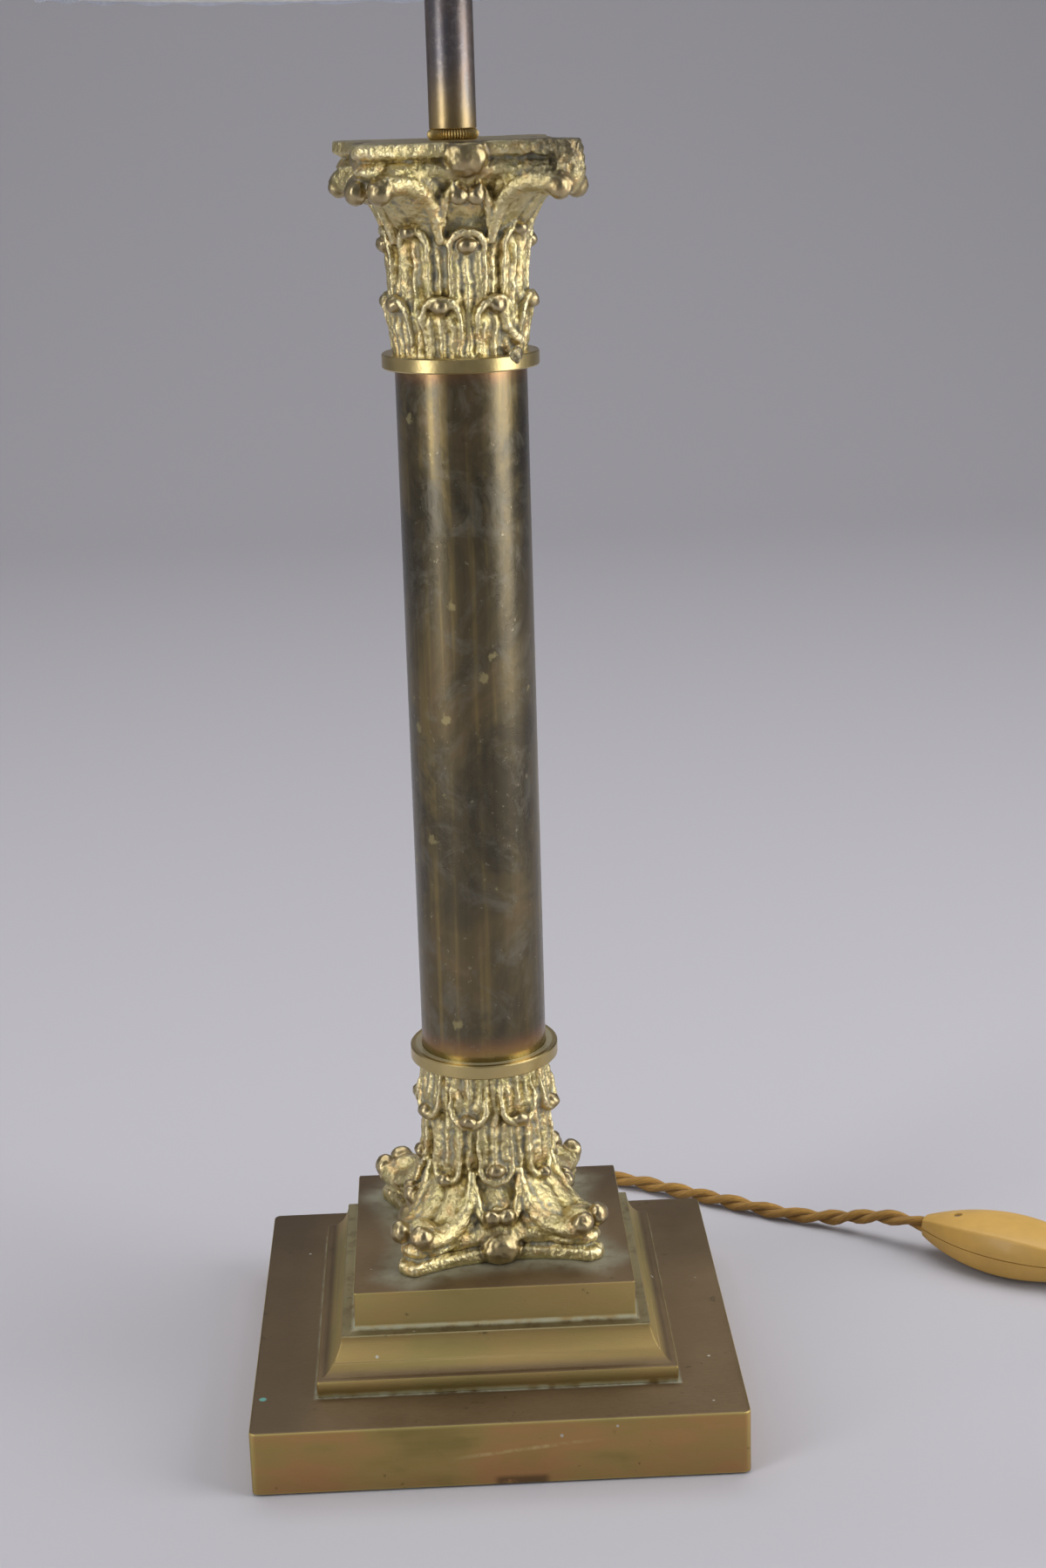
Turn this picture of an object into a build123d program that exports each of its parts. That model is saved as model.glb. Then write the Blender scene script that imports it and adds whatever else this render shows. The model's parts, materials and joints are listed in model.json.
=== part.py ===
"""Brass column table lamp: a square base, a round column between two leafy castings, a stem,
a lampholder with its bulb, a tapered shade on a wire frame, and a twisted cord with an inline
switch and a two-pin plug.

Millimetres. +Z is up, the front faces -Y, and the origin is the middle of the base's
underside, on the table.
"""
import math
import os

from build123d import *

# Base
BASE_WIDTH = 154.0
BASE_TOP = 21.6
BASE_CORNER = 2.5
BASE_EDGE = 0.7
FELT_THICK = 1.2
BOARD_THICK = 1.5
RIM_LIFT = 0.8
WALL = 4.0
PLINTH_LIP = 56.7
PLINTH_LEDGE = 48.8
PLINTH_BLOCK = 44.4
LIP_TOP = 27.1
LEDGE_TOP = 38.1
PLINTH_TOP = 50.7

# Castings at the column's foot and head, and the column between them
CASTING_HEIGHT = 66.1
COLUMN_RADIUS = 20.0
COLUMN_WALL = 1.2
COLUMN_LENGTH = 217.2
SEAT_DEPTH = 4.2
RING_RADIUS = 23.4
RING_HEIGHT = 4.5
BELL_RADIUS = 19.9
BELL_FLARE = 17.0
FLARE_FOOT = 44.0
CORE_RADIUS = 15.5
ABACUS_THICK = 8.0
ABACUS_CORNER = 43.0
ABACUS_SIDE = 27.0
CHAMFER_HALF = 4.0
FOOT_TWIST = 6.0
HEAD_TWIST = 7.0
LEAF_COUNT = 8
LOW_LEAF_TOP = 18.5
HIGH_LEAF_TOP = 35.1
VOLUTE_HEIGHT = 52.0
VOLUTE_RADIUS = 4.0

# Threaded rod, stem and lampholder
ROD_RADIUS = 5.0
ROD_BORE = 3.5
ROD_FOOT = 7.5
RUN_CLEARANCE = 0.1
STEM_RADIUS = 7.0
STEM_WALL = 1.0
STEM_TOP = 463.0
KNURL_RADIUS = 7.65
KNURL_HEIGHT = 3.0
BUSH_LENGTH = 8.0
CAP_RADIUS = 19.5
CAP_HEIGHT = 21.0
SHELL_HEIGHT = 35.0
SHELL_WALL = 1.6
CLAMP_FOOT = 488.0
CLAMP_THICK = 5.0

# Bulb
BULB_FOOT = 491.0
BULB_CAP_RADIUS = 13.2
BULB_CAP_HEIGHT = 25.0
BULB_RADIUS = 29.5
BULB_TOP = 595.0

# Shade
SHADE_FOOT = 442.4
SHADE_HEIGHT = 170.0
SHADE_FOOT_RADIUS = 121.0
SHADE_TOP_RADIUS = 76.0
SHADE_THICK = 1.2
WIRE = 3.0
FITTER_THICK = 2.0
FITTER_RADIUS = 31.0
ARM_COUNT = 3

# Cord
CORD_DIAMETER = 6.0
CORD_SIDE = 4.9
CORD_REST = 3.0
CORE_WIRE = 2.2
RUN_SHARE = 0.45
EXIT_HEIGHT = 9.0
COIL_RADIUS = 45.0
COIL_PITCH = 8.8
COIL_RISE = 7.4
COIL_HALF_TURNS = 6

# Switch and plug
SWITCH_LENGTH = 66.0
SWITCH_WIDTH = 26.0
SWITCH_HEIGHT = 18.0
SWITCH_MIDDLE = 9.8
SWITCH_HEADING = -36.0
SWITCH_TIP = 3.6
ROCKER_LENGTH = 23.2
ROCKER_WIDTH = 10.4
ROCKER_TILT = 7.0
ROCKER_PIVOT = 5.4
PLUG_LENGTH = 35.0
PLUG_WIDTH = 26.0
PLUG_THICK = 13.7
PLUG_HEADING = 240.0
PIN_RADIUS = 2.0
PIN_SPACING = 18.6

# Where the switch lies, and the cord's routes where it isn't coiled: points chosen by hand
SWITCH_PLACE = (186.5, 50.9)


def along_switch(distance):
    """A point on the switch's long axis, a distance from its middle."""
    heading = math.radians(SWITCH_HEADING)
    return (SWITCH_PLACE[0] + distance * math.cos(heading),
            SWITCH_PLACE[1] + distance * math.sin(heading), SWITCH_MIDDLE)


LEAD_ROUTE = [(0.0, 79.0, EXIT_HEIGHT), (0.0, 92.0, EXIT_HEIGHT), (1.0, 110.0, 5.0), (8.0, 126.0, CORD_REST),
              (22.0, 138.0, CORD_REST), (40.0, 141.5, CORD_REST), (57.0, 134.5, CORD_REST),
              (73.0, 123.8, CORD_REST), (91.0, 112.6, CORD_REST), (110.0, 99.8, CORD_REST),
              (127.0, 92.2, 3.6), (141.0, 84.0, 7.6), along_switch(-45.0), along_switch(-SWITCH_LENGTH / 2)]
TAIL_ROUTE = [along_switch(SWITCH_LENGTH / 2), along_switch(41.5), (228.6, 20.6, 6.2), (238.0, 17.2, 3.8),
              (248.4, 16.8, CORD_REST), (257.6, 16.8, CORD_REST)]
COIL_CENTRE = (263.6, 16.8 - COIL_RADIUS)
PLUG_ROUTE = [(257.6, 16.8 - 2 * COIL_RADIUS, CORD_REST + COIL_RISE),
              (248.6, 16.8 - 2 * COIL_RADIUS, CORD_REST + COIL_RISE), (238.6, -75.6, 8.4), (229.6, -81.2, 6.85),
              (223.4, -90.4, 6.85), (218.6, -98.7, 6.85)]

HEAD_FOOT = PLINTH_TOP + CASTING_HEIGHT + COLUMN_LENGTH
HEAD_TOP = HEAD_FOOT + CASTING_HEIGHT
STEM_FOOT = HEAD_TOP + KNURL_HEIGHT
BOARD_TOP = FELT_THICK + BOARD_THICK
BASE_ROOF = BASE_TOP - 3.5
CAP_TOP = STEM_TOP + CAP_HEIGHT
FRONTWARD = Plane(origin=(0, 0, 0), x_dir=(0, -1, 0), z_dir=(-1, 0, 0))


def save(shape, node):
    """Writes one piece of the lamp under its node's name."""
    export_step(shape, os.path.join("parts", node + ".step"))


def rod(radius, foot, top, at=(0, 0)):
    """A round bar standing between two heights."""
    return Pos(at[0], at[1], foot) * extrude(Circle(radius), top - foot)


def tube(outer, inner, foot, top):
    """A round tube standing between two heights."""
    return rod(outer, foot, top) - rod(inner, foot, top)


def ribbed_ring(outer, inner, foot, top, sides):
    """A ring with flats all round, like a hand-turned clamping ring."""
    flats = RegularPolygon(outer, sides) - RegularPolygon(inner, sides, major_radius=False)
    return Pos(0, 0, foot) * extrude(flats, top - foot)


def ring_of_points(radius, height, sides):
    """Corners of a regular polygon about Z, or the one point on the axis."""
    turns = [2 * math.pi * i / sides for i in range(sides)] if radius else [0.0]
    return [Vector(radius * math.cos(a), radius * math.sin(a), height) for a in turns]


def turned(sides, *outline):
    """A many-sided turned solid about Z, from an outline of (radius, height) corners."""
    rings = [ring_of_points(radius, height, sides) for radius, height in outline]
    faces = []
    for lower, upper in zip(rings, rings[1:] + rings[:1]):
        if len(lower) + len(upper) > 2:
            for i in range(sides):
                corners = [lower[i % len(lower)], lower[(i + 1) % len(lower)],
                           upper[(i + 1) % len(upper)], upper[i % len(upper)]]
                apart = [c for k, c in enumerate(corners) if (c - corners[k - 1]).length > 1e-6]
                faces.append(Face(Wire.make_polygon(apart, close=True)))
    return Solid(Shell(faces))


def square_block(half, corner, foot, height):
    """A square block with round upright corners."""
    return Pos(0, 0, foot) * extrude(RectangleRounded(2 * half, 2 * half, corner), height)


def square_room(half, foot, top):
    """The plain square space or sheet between two heights."""
    return Pos(0, 0, foot) * extrude(Rectangle(2 * half, 2 * half), top - foot)


def around(piece, count, start=0.0):
    """Copies of a piece turned evenly about Z."""
    return [Rot(0, 0, start + 360.0 / count * i) * piece for i in range(count)]


def square_moulding(face):
    """A moulding that runs round a square: a half outline, mirrored, mitred at the corners."""
    whole = face + mirror(face, Plane.YZ)
    along = extrude(Plane.XZ * whole, BASE_WIDTH / 2, both=True)
    return along & Rot(0, 0, 90) * along


# ---------------------------------------------------------------- base

def base_slab():
    """Hollow cast tray: rebated underneath for its board, bored for the rod and the cord."""
    half = BASE_WIDTH / 2
    slab = square_block(half, BASE_CORNER, RIM_LIFT, BASE_TOP - RIM_LIFT)
    slab = chamfer(slab.faces().sort_by(Axis.Z)[-1].edges(), BASE_EDGE)
    slab -= square_room(half - WALL, RIM_LIFT, BASE_ROOF)
    slab -= square_room(half - 2.0, RIM_LIFT, BOARD_TOP)
    slab += Pos(0, 0, BASE_ROOF - 1.5) * extrude(RegularPolygon(22, 16), 1.5)
    slab -= rod(ROD_RADIUS + 0.2, RIM_LIFT, BASE_TOP)
    return slab - Pos(0, half, EXIT_HEIGHT) * Rot(90, 0, 0) * Cylinder(4.6, 12)


def stepped_plinth():
    """Second casting: a lip, a hollow moulding, a ledge, a small cove and the square block."""
    outline = [
        Polyline((0, BASE_TOP), (PLINTH_LIP, BASE_TOP), (PLINTH_LIP, LIP_TOP - 0.8), (PLINTH_LIP - 0.8, LIP_TOP)),
        ThreePointArc((PLINTH_LIP - 0.8, LIP_TOP), (51.3, 30.3), (PLINTH_LEDGE, LEDGE_TOP - 1.1)),
        Polyline((PLINTH_LEDGE, LEDGE_TOP - 1.1), (PLINTH_LEDGE, LEDGE_TOP), (PLINTH_BLOCK + 1.5, LEDGE_TOP)),
        ThreePointArc((PLINTH_BLOCK + 1.5, LEDGE_TOP), (PLINTH_BLOCK + 0.4, LEDGE_TOP + 0.5),
                      (PLINTH_BLOCK, LEDGE_TOP + 1.7)),
        Polyline((PLINTH_BLOCK, LEDGE_TOP + 1.7), (PLINTH_BLOCK, PLINTH_TOP - 0.5),
                 (PLINTH_BLOCK - 0.5, PLINTH_TOP), (0, PLINTH_TOP), (0, BASE_TOP)),
    ]
    hollow = Polyline((0, BASE_TOP), (51, BASE_TOP), (51, 24), (44.5, 32), (40.4, 38),
                      (40.4, PLINTH_TOP - WALL), (0, PLINTH_TOP - WALL), close=True)
    plinth = square_moulding(make_face(outline)) - square_moulding(make_face(hollow))
    return plinth - rod(ROD_RADIUS + 0.2, BASE_TOP, PLINTH_TOP)


def make_base():
    """Everything in and under the base."""
    save(base_slab(), "base_slab")
    save(stepped_plinth(), "stepped_plinth")
    save(square_room(BASE_WIDTH / 2 - 2.2, FELT_THICK, BOARD_TOP), "bottom_board")
    save(square_room(BASE_WIDTH / 2 - 3.5, 0, FELT_THICK), "base_felt")
    washer_foot = BASE_ROOF - 3.5
    bore = RegularPolygon(ROD_RADIUS + 0.1, 16, major_radius=False)
    save(Pos(0, 0, washer_foot) * extrude(Rectangle(30, 30) - bore, 2), "base_washer")
    save(ribbed_ring(9, ROD_RADIUS + 0.2, washer_foot - 1, washer_foot, 12), "lock_washer")
    nut = RegularPolygon(7, 6, major_radius=False) - bore
    save(Pos(0, 0, washer_foot - 5) * extrude(nut, 4), "base_nut")


def make_cord_entry():
    """Bush in the base's rear wall, and the clamp that holds the cord inside."""
    back = BASE_WIDTH / 2
    collars = [(6.4, -2, 0), (4.5, 0, 6), (5.6, 4.2, 6)]
    bush = Part() + [ribbed_ring(radius, 3.0, foot - back, top - back, 16) for radius, foot, top in collars]
    save(Pos(0, 0, EXIT_HEIGHT) * Rot(90, 0, 0) * bush, "cord_grommet")
    post = Pos(0, 56, 0) * (Pos(-9.5, -5, BOARD_TOP + 0.6) * extrude(Rectangle(6.4, 10, align=Align.MIN), 9.4))
    saddle = Pos(0, 56, 0) * (Pos(0, 0, BOARD_TOP + 10) * extrude(Rectangle(19, 10), 2.0))
    save(post + saddle, "cord_clamp")
    save(Pos(-6, 56, 0) * (rod(2.6, BOARD_TOP + 12, BOARD_TOP + 14)), "clamp_screw")


# ---------------------------------------------------------------- castings and column

def leaf(width, foot, top, outer, tip_size):
    """One leaf on the bell, facing -Y: a blade that leans out and a rolled tip."""
    half = width / 2
    front = Polyline((-half * 0.8, foot), (-half, top - 7), (-half * 0.5, top),
                     (half * 0.5, top), (half, top - 7), (half * 0.8, foot), close=True)
    side = Polyline((17.5, foot), (outer - 0.6, foot), (outer + 0.5, top), (17.5, top), close=True)
    blade = extrude(Plane.XZ * make_face(front), 40) & extrude(FRONTWARD * make_face(side), width, both=True)
    tip = Pos(-tip_size / 2, -outer - 0.3, top) * extrude(Plane.YZ * RegularPolygon(2.9, 6), tip_size)
    return blade + tip


def corner_scroll():
    """The stalk and the pair of scrolls under one corner, at the middle of the +X +Y quarter."""
    side = [(18.5, 27), (20.8, 27), (22.5, 37), (27, 44.5), (34, 49), (40.5, 51), (40.5, 57.5), (18.5, 57.5)]
    bracket = extrude(Plane.XZ * make_face(Polyline(*side, close=True)), 3.6, both=True)
    eye = Pos(31.6, 25.0, VOLUTE_HEIGHT) * extrude(Plane.XZ * RegularPolygon(VOLUTE_RADIUS, 8), 4.5, both=True)
    return [Rot(0, 0, 45) * bracket, eye, mirror(eye, Plane.XZ.rotated((0, 0, 45)))]


def abacus_face(share):
    """Four-sided plan with hollow sides and cut corners, at a share of the full size."""
    out = share * (ABACUS_CORNER + CHAMFER_HALF) * math.sqrt(0.5)
    side = share * (ABACUS_CORNER - CHAMFER_HALF) * math.sqrt(0.5)
    front = ThreePointArc((-side, -out), (0, -share * ABACUS_SIDE), (side, -out))
    cut = Line((side, -out), (out, -side))
    return make_face([Rot(0, 0, 90 * i) * edge for i in range(4) for edge in (front, cut)])


def abacus():
    """The square top slab: an upper fillet and a lower step, with a flower on each side."""
    top = CASTING_HEIGHT
    layers = [(1.0, top - 2.4, 2.4), (0.95, top - ABACUS_THICK, ABACUS_THICK - 2.4)]
    slab = Part() + [Pos(0, 0, foot) * extrude(abacus_face(share), height) for share, foot, height in layers]
    flower = Pos(0, -23.4, top - 4.1) * extrude(Plane.XZ * RegularPolygon(4.2, 6), 5.6, taper=12)
    return slab + around(flower, 4)


def casting():
    """One leafy casting, standing on the column: ring, bell, two rows of leaves, scrolls and abacus."""
    ring = rod(RING_RADIUS, 0, RING_HEIGHT)
    wall = Rot(0, 0, 11.25) * RegularPolygon(BELL_RADIUS, 16, major_radius=False)
    bell = ring + Pos(0, 0, RING_HEIGHT - 0.3) * extrude(wall, FLARE_FOOT)
    bell += Pos(0, 0, FLARE_FOOT) * extrude(wall, CASTING_HEIGHT - ABACUS_THICK + 0.2 - FLARE_FOOT, taper=-BELL_FLARE)
    low = leaf(15.2, RING_HEIGHT - 0.2, LOW_LEAF_TOP, 21.6, 6.2)
    high = leaf(12.4, 15.5, HIGH_LEAF_TOP, 20.9, 6.6)
    stalk = leaf(12.4, 15.5, HIGH_LEAF_TOP - 3, 20.4, 4.4)
    helix = Pos(2.3, -23.5, 47.6) * extrude(Plane.XZ * RegularPolygon(2.9, 6), 4.6)
    pair = [helix, mirror(helix, Plane.YZ)]
    stem = Pos(0, -21.9, 42) * extrude(Rectangle(4.4, 6.4), 15)
    pieces = around(low, LEAF_COUNT, 22.5) + around(high, 4) + around(stalk, 4, 45) + around(stem, 4)
    pieces += [copy for scroll in corner_scroll() + pair for copy in around(scroll, 4)]
    whole = bell + pieces + abacus()
    core = rod(COLUMN_RADIUS + 0.05, 0, SEAT_DEPTH) + extrude(RegularPolygon(CORE_RADIUS, 16), 55)
    return whole - core - rod(ROD_RADIUS + 0.2, 54, 70)


def make_column():
    """The two castings, alike, the lower one upside down, and the tube between them."""
    leafy = casting()
    save(Pos(0, 0, PLINTH_TOP + CASTING_HEIGHT) * Rot(180, 0, -FOOT_TWIST) * leafy, "lower_capital")
    save(Pos(0, 0, HEAD_FOOT) * Rot(0, 0, HEAD_TWIST) * leafy, "upper_capital")
    foot = PLINTH_TOP + CASTING_HEIGHT - SEAT_DEPTH
    save(tube(COLUMN_RADIUS, COLUMN_RADIUS - COLUMN_WALL, foot, HEAD_FOOT + SEAT_DEPTH), "column_tube")


# ---------------------------------------------------------------- stem and lampholder

def make_stem():
    """Threaded rod through the whole column, the milled ring and the stem on it."""
    inner = STEM_RADIUS - STEM_WALL
    save(tube(ROD_RADIUS, ROD_BORE, ROD_FOOT, STEM_FOOT + BUSH_LENGTH - 1), "centre_rod")
    save(ribbed_ring(KNURL_RADIUS, ROD_RADIUS + RUN_CLEARANCE, HEAD_TOP, STEM_FOOT, 32), "knurled_ring")
    save(tube(STEM_RADIUS, inner, STEM_FOOT, STEM_TOP), "stem_tube")
    for node, foot in (("stem_foot_bush", STEM_FOOT), ("stem_head_bush", STEM_TOP - BUSH_LENGTH)):
        save(ribbed_ring(inner - 0.05, ROD_RADIUS + RUN_CLEARANCE, foot, foot + BUSH_LENGTH, 16), node)
    save(ribbed_ring(ROD_RADIUS, ROD_BORE, STEM_TOP - BUSH_LENGTH + 0.5, STEM_TOP + 5, 16), "holder_nipple")


def holder_cap():
    """Domed lower half of the lampholder, with its threaded neck."""
    lower, side = STEM_TOP + 6, CAP_RADIUS - SHELL_WALL
    dome = turned(24, (ROD_RADIUS + 0.1, STEM_TOP), (8, STEM_TOP), (8, lower), (16, lower + 3.4),
                  (CAP_RADIUS, lower + 9), (CAP_RADIUS, CAP_TOP), (side, CAP_TOP), (side, lower + 9.6),
                  (14.8, lower + 4.8), (ROD_RADIUS + 0.1, lower + 0.6))
    return dome - Pos(7, 0, STEM_TOP + 3) * Rot(0, 90, 0) * Cylinder(1.4, 6)


def make_lampholder():
    """Cap, outer shell, ceramic insert, contacts, thread and the two rings that clamp the shade."""
    save(holder_cap(), "holder_cap")
    grub = Pos(6.6, 0, STEM_TOP + 3) * Rot(0, 90, 0) * Cylinder(1.4, 2.6)
    save(grub, "holder_grub_screw")
    bore = CAP_RADIUS - SHELL_WALL
    save(ribbed_ring(CAP_RADIUS, bore, CAP_TOP, CAP_TOP + SHELL_HEIGHT, 36), "holder_shell")
    insert = Pos(0, 0, CAP_TOP - 11) * extrude(RegularPolygon(11.5, 12), 7.5)
    insert += Pos(0, 0, CAP_TOP - 4) * extrude(RegularPolygon(bore - 0.3, 24), 7.5)
    save(insert, "holder_insert")
    thread_foot = CAP_TOP + 3.5
    save(ribbed_ring(14.8, 14.0, thread_foot, thread_foot + 25, 24), "lamp_thread")
    tab = [(-7, 0), (-3, 0), (0, 1.9), (5, 2.7), (5, 3.3), (-0.4, 2.5), (-3.3, 0.6), (-7, 0.6)]
    strip = extrude(Plane.XZ * make_face(Polyline(*tab, close=True)), 2.5, both=True)
    save(Pos(0, 0, thread_foot) * strip, "centre_contact")
    screw = Pos(11.5, 0, CAP_TOP - 7.5) * extrude(Plane.YZ * RegularPolygon(1.7, 12), 2.2)
    save(Compound([screw, mirror(screw, Plane.YZ)]), "terminal_screws")
    save(ribbed_ring(28, CAP_RADIUS + 0.1, CLAMP_FOOT, CLAMP_FOOT + CLAMP_THICK, 24), "shade_ring_lower")
    upper = CLAMP_FOOT + CLAMP_THICK + FITTER_THICK + 0.6
    save(ribbed_ring(26, CAP_RADIUS + 0.1, upper, upper + CLAMP_THICK, 24), "shade_ring_upper")


def make_bulb():
    """Round bulb and its screw cap."""
    top = BULB_FOOT + BULB_CAP_HEIGHT
    save(turned(24, (0, BULB_FOOT), (4.5, BULB_FOOT), (BULB_CAP_RADIUS - 1.2, BULB_FOOT + 4),
                (BULB_CAP_RADIUS, BULB_FOOT + 6), (BULB_CAP_RADIUS, top), (0, top)), "bulb_cap")
    middle = BULB_TOP - BULB_RADIUS
    round_part = [(BULB_RADIUS * math.sin(a), middle + BULB_RADIUS * math.cos(a))
                  for a in (math.radians(21.0 * i) for i in range(1, 7))]
    outline = [(0, BULB_TOP)] + round_part + [(15.0, top + 10), (BULB_CAP_RADIUS, top), (0, top)]
    save(turned(24, *outline), "bulb_glass")


# ---------------------------------------------------------------- shade

def cloth_radius(height):
    """The shade's outer radius at a height above its foot."""
    return SHADE_FOOT_RADIUS - (SHADE_FOOT_RADIUS - SHADE_TOP_RADIUS) * height / SHADE_HEIGHT


def hoop(foot):
    """One wire hoop of the frame, just inside the cloth."""
    low, high = (cloth_radius(height) - SHADE_THICK - 0.3 for height in (foot, foot + WIRE))
    return turned(36, (low - WIRE, SHADE_FOOT + foot), (low, SHADE_FOOT + foot),
                  (high, SHADE_FOOT + foot + WIRE), (high - WIRE, SHADE_FOOT + foot + WIRE))


def bar(start, end, radius):
    """A straight six-sided wire between two points."""
    start, end = Vector(*start), Vector(*end)
    return Plane(origin=start, z_dir=end - start) * extrude(RegularPolygon(radius, 6), (end - start).length)


def make_shade():
    """Cloth cone, the wire frame inside it and the three-armed carrier."""
    head = SHADE_FOOT + SHADE_HEIGHT
    save(turned(72, (SHADE_FOOT_RADIUS - SHADE_THICK, SHADE_FOOT), (SHADE_FOOT_RADIUS, SHADE_FOOT),
                (SHADE_TOP_RADIUS, head), (SHADE_TOP_RADIUS - SHADE_THICK, head)), "shade_fabric")
    inset = SHADE_THICK + 0.3 + WIRE / 2
    rib = bar((SHADE_FOOT_RADIUS - inset - 0.6, 0, SHADE_FOOT + 2.0),
              (SHADE_TOP_RADIUS - inset + 0.6, 0, SHADE_FOOT + SHADE_HEIGHT - 2.0), WIRE / 2 - 0.2)
    frame = hoop(0.8) + hoop(SHADE_HEIGHT - WIRE - 0.8) + around(rib, 6, 30)
    save(frame, "shade_frame")
    foot = CLAMP_FOOT + CLAMP_THICK + 0.3
    fitter = ribbed_ring(FITTER_RADIUS, CAP_RADIUS + 0.4, foot, foot + FITTER_THICK, 36)
    arm = bar((FITTER_RADIUS - 0.8, 0, foot + 1.0), (SHADE_FOOT_RADIUS - 6.2, 0, SHADE_FOOT + 2.5), WIRE / 2)
    save(fitter + around(arm, ARM_COUNT, 90), "shade_spider")


# ---------------------------------------------------------------- cord

def bend_radii(route):
    """The largest arc that fits each corner of a route."""
    radii = []
    for before, corner, after in zip(route, route[1:], route[2:]):
        come, leave = corner - before, after - corner
        turn = math.radians(come.get_angle(leave))
        radii.append(RUN_SHARE * min(come.length, leave.length) / math.tan(turn / 2))
    return radii


def cord_section(path):
    """The cord's square section across a path's start, flat side down."""
    return Plane(origin=path @ 0, x_dir=Vector(0, 0, 1), z_dir=path % 0) * Rectangle(CORD_SIDE, CORD_SIDE)


def free_tube(points, name):
    """A free stretch of cord: straight runs joined by round bends."""
    route = [Vector(*point) for point in points]
    radii = bend_radii(route)
    path = FilletPolyline(*route, radius=radii)
    solid = sweep(cord_section(path), path=path)
    share = solid.volume / (CORD_SIDE ** 2 * path.length)
    print(name, "length", round(path.length, 1), "radii", [round(r) for r in radii], "volume", round(share, 4))
    return solid


def coil_node(half_turns):
    """A point of the coil and its direction, after a number of half turns from its start."""
    layer = 0.0 if half_turns <= COIL_HALF_TURNS else 1.0
    steps = min(half_turns, 2 * COIL_HALF_TURNS + 1 - half_turns)
    radius = COIL_RADIUS - COIL_PITCH / 2 * steps
    side = 1.0 if half_turns % 2 == 0 else -1.0
    point = Vector(COIL_CENTRE[0], COIL_CENTRE[1] + side * radius, CORD_REST + COIL_RISE * layer)
    return point, Vector(side, 0, 0)


def biarc(start, start_way, end, end_way):
    """Two round arcs from one point and direction to the next."""
    gap, ways = end - start, start_way + end_way
    spread = 2 * (1 - start_way.dot(end_way))
    reach = (-gap.dot(ways) + math.sqrt(gap.dot(ways) ** 2 + spread * gap.dot(gap))) / spread
    middle = (start + start_way * reach + end - end_way * reach) * 0.5
    return TangentArc(start, middle, tangent=start_way), TangentArc(middle, end, tangent=end - end_way * reach - middle)


def coil_path():
    """The coil's line: in along the floor, up a layer at the inside, and out again on top."""
    nodes = [coil_node(i) for i in range(2 * COIL_HALF_TURNS + 2)]
    arcs = [arc for (a, way_a), (b, way_b) in zip(nodes, nodes[1:]) for arc in biarc(a, way_a, b, way_b)]
    (start, start_way), (end, end_way) = nodes[0], nodes[-1]
    lead = Line(start - start_way * CORD_DIAMETER, start)
    return Wire([lead.edge()] + [arc.edge() for arc in arcs] + [Line(end, end + end_way * CORD_DIAMETER).edge()])


def least_gap(path):
    """The least clear space between the coil's own turns, beside or above each other, on points along its line."""
    count = int(path.length / 2)
    points = [path @ (i / count) for i in range(count + 1)]
    apart = int(2.5 * CORD_DIAMETER / (path.length / count))
    pairs = ((points[i], points[j]) for i in range(count + 1) for j in range(i + apart, count + 1))
    return min(max(math.hypot(a.X - b.X, a.Y - b.Y), abs(a.Z - b.Z)) for a, b in pairs) - CORD_SIDE


def cord_coil():
    """The put-away length of the cord: loops lying flat in two layers."""
    path = coil_path()
    solid = sweep(cord_section(path), path=path)
    share = solid.volume / (CORD_SIDE ** 2 * path.length)
    print("coil length", round(path.length, 1), "least gap", round(least_gap(path), 2), "volume", round(share, 4))
    return solid


def inner_wire(side):
    """One core of the cord, from the clamp in the base up the rod to the lampholder."""
    x = 1.6 * side
    floor = BOARD_TOP + CORE_WIRE / 2 + 0.5
    route = [Vector(x, 74, EXIT_HEIGHT), Vector(x, 50, EXIT_HEIGHT), Vector(x, 34, floor), Vector(x, 0, floor),
             Vector(x, 0, CAP_TOP - 15), Vector(6.5 * side, 0, CAP_TOP - 12.2)]
    path = FilletPolyline(*route, radius=[14, 14, 6, 2.6])
    return sweep(Plane(origin=path @ 0, z_dir=path % 0) * RegularPolygon(CORE_WIRE / 2, 4), path=path)


def make_cord():
    """The free cord in its three stretches and its coil, and the two cores inside the lamp."""
    save(free_tube(LEAD_ROUTE, "cord_lead"), "cord_lead")
    save(free_tube(TAIL_ROUTE, "cord_tail"), "cord_tail")
    save(free_tube(PLUG_ROUTE, "plug_lead"), "plug_lead")
    save(cord_coil(), "cord_coil")
    save(inner_wire(-1), "neutral_wire")
    save(inner_wire(1), "live_wire")


# ---------------------------------------------------------------- switch and plug

def switch_form():
    """The switch's pointed oval."""
    half, wide, high, tip = SWITCH_LENGTH / 2, SWITCH_WIDTH / 2, SWITCH_HEIGHT / 2, SWITCH_TIP

    def oval(middle):
        upper = ThreePointArc((-half, tip), (0, middle), (half, tip))
        return make_face([upper, Line((half, tip), (half, -tip)), mirror(upper, Plane.XZ),
                          Line((-half, -tip), (-half, tip))])
    plan = extrude(oval(wide), high, both=True)
    side = extrude(Plane.XZ * oval(high), wide, both=True)
    return plan & side


def place_switch(piece):
    """Moves a piece from the switch's own frame to where the switch lies."""
    return Pos(SWITCH_PLACE[0], SWITCH_PLACE[1], SWITCH_MIDDLE) * Rot(0, 0, SWITCH_HEADING) * piece


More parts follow.
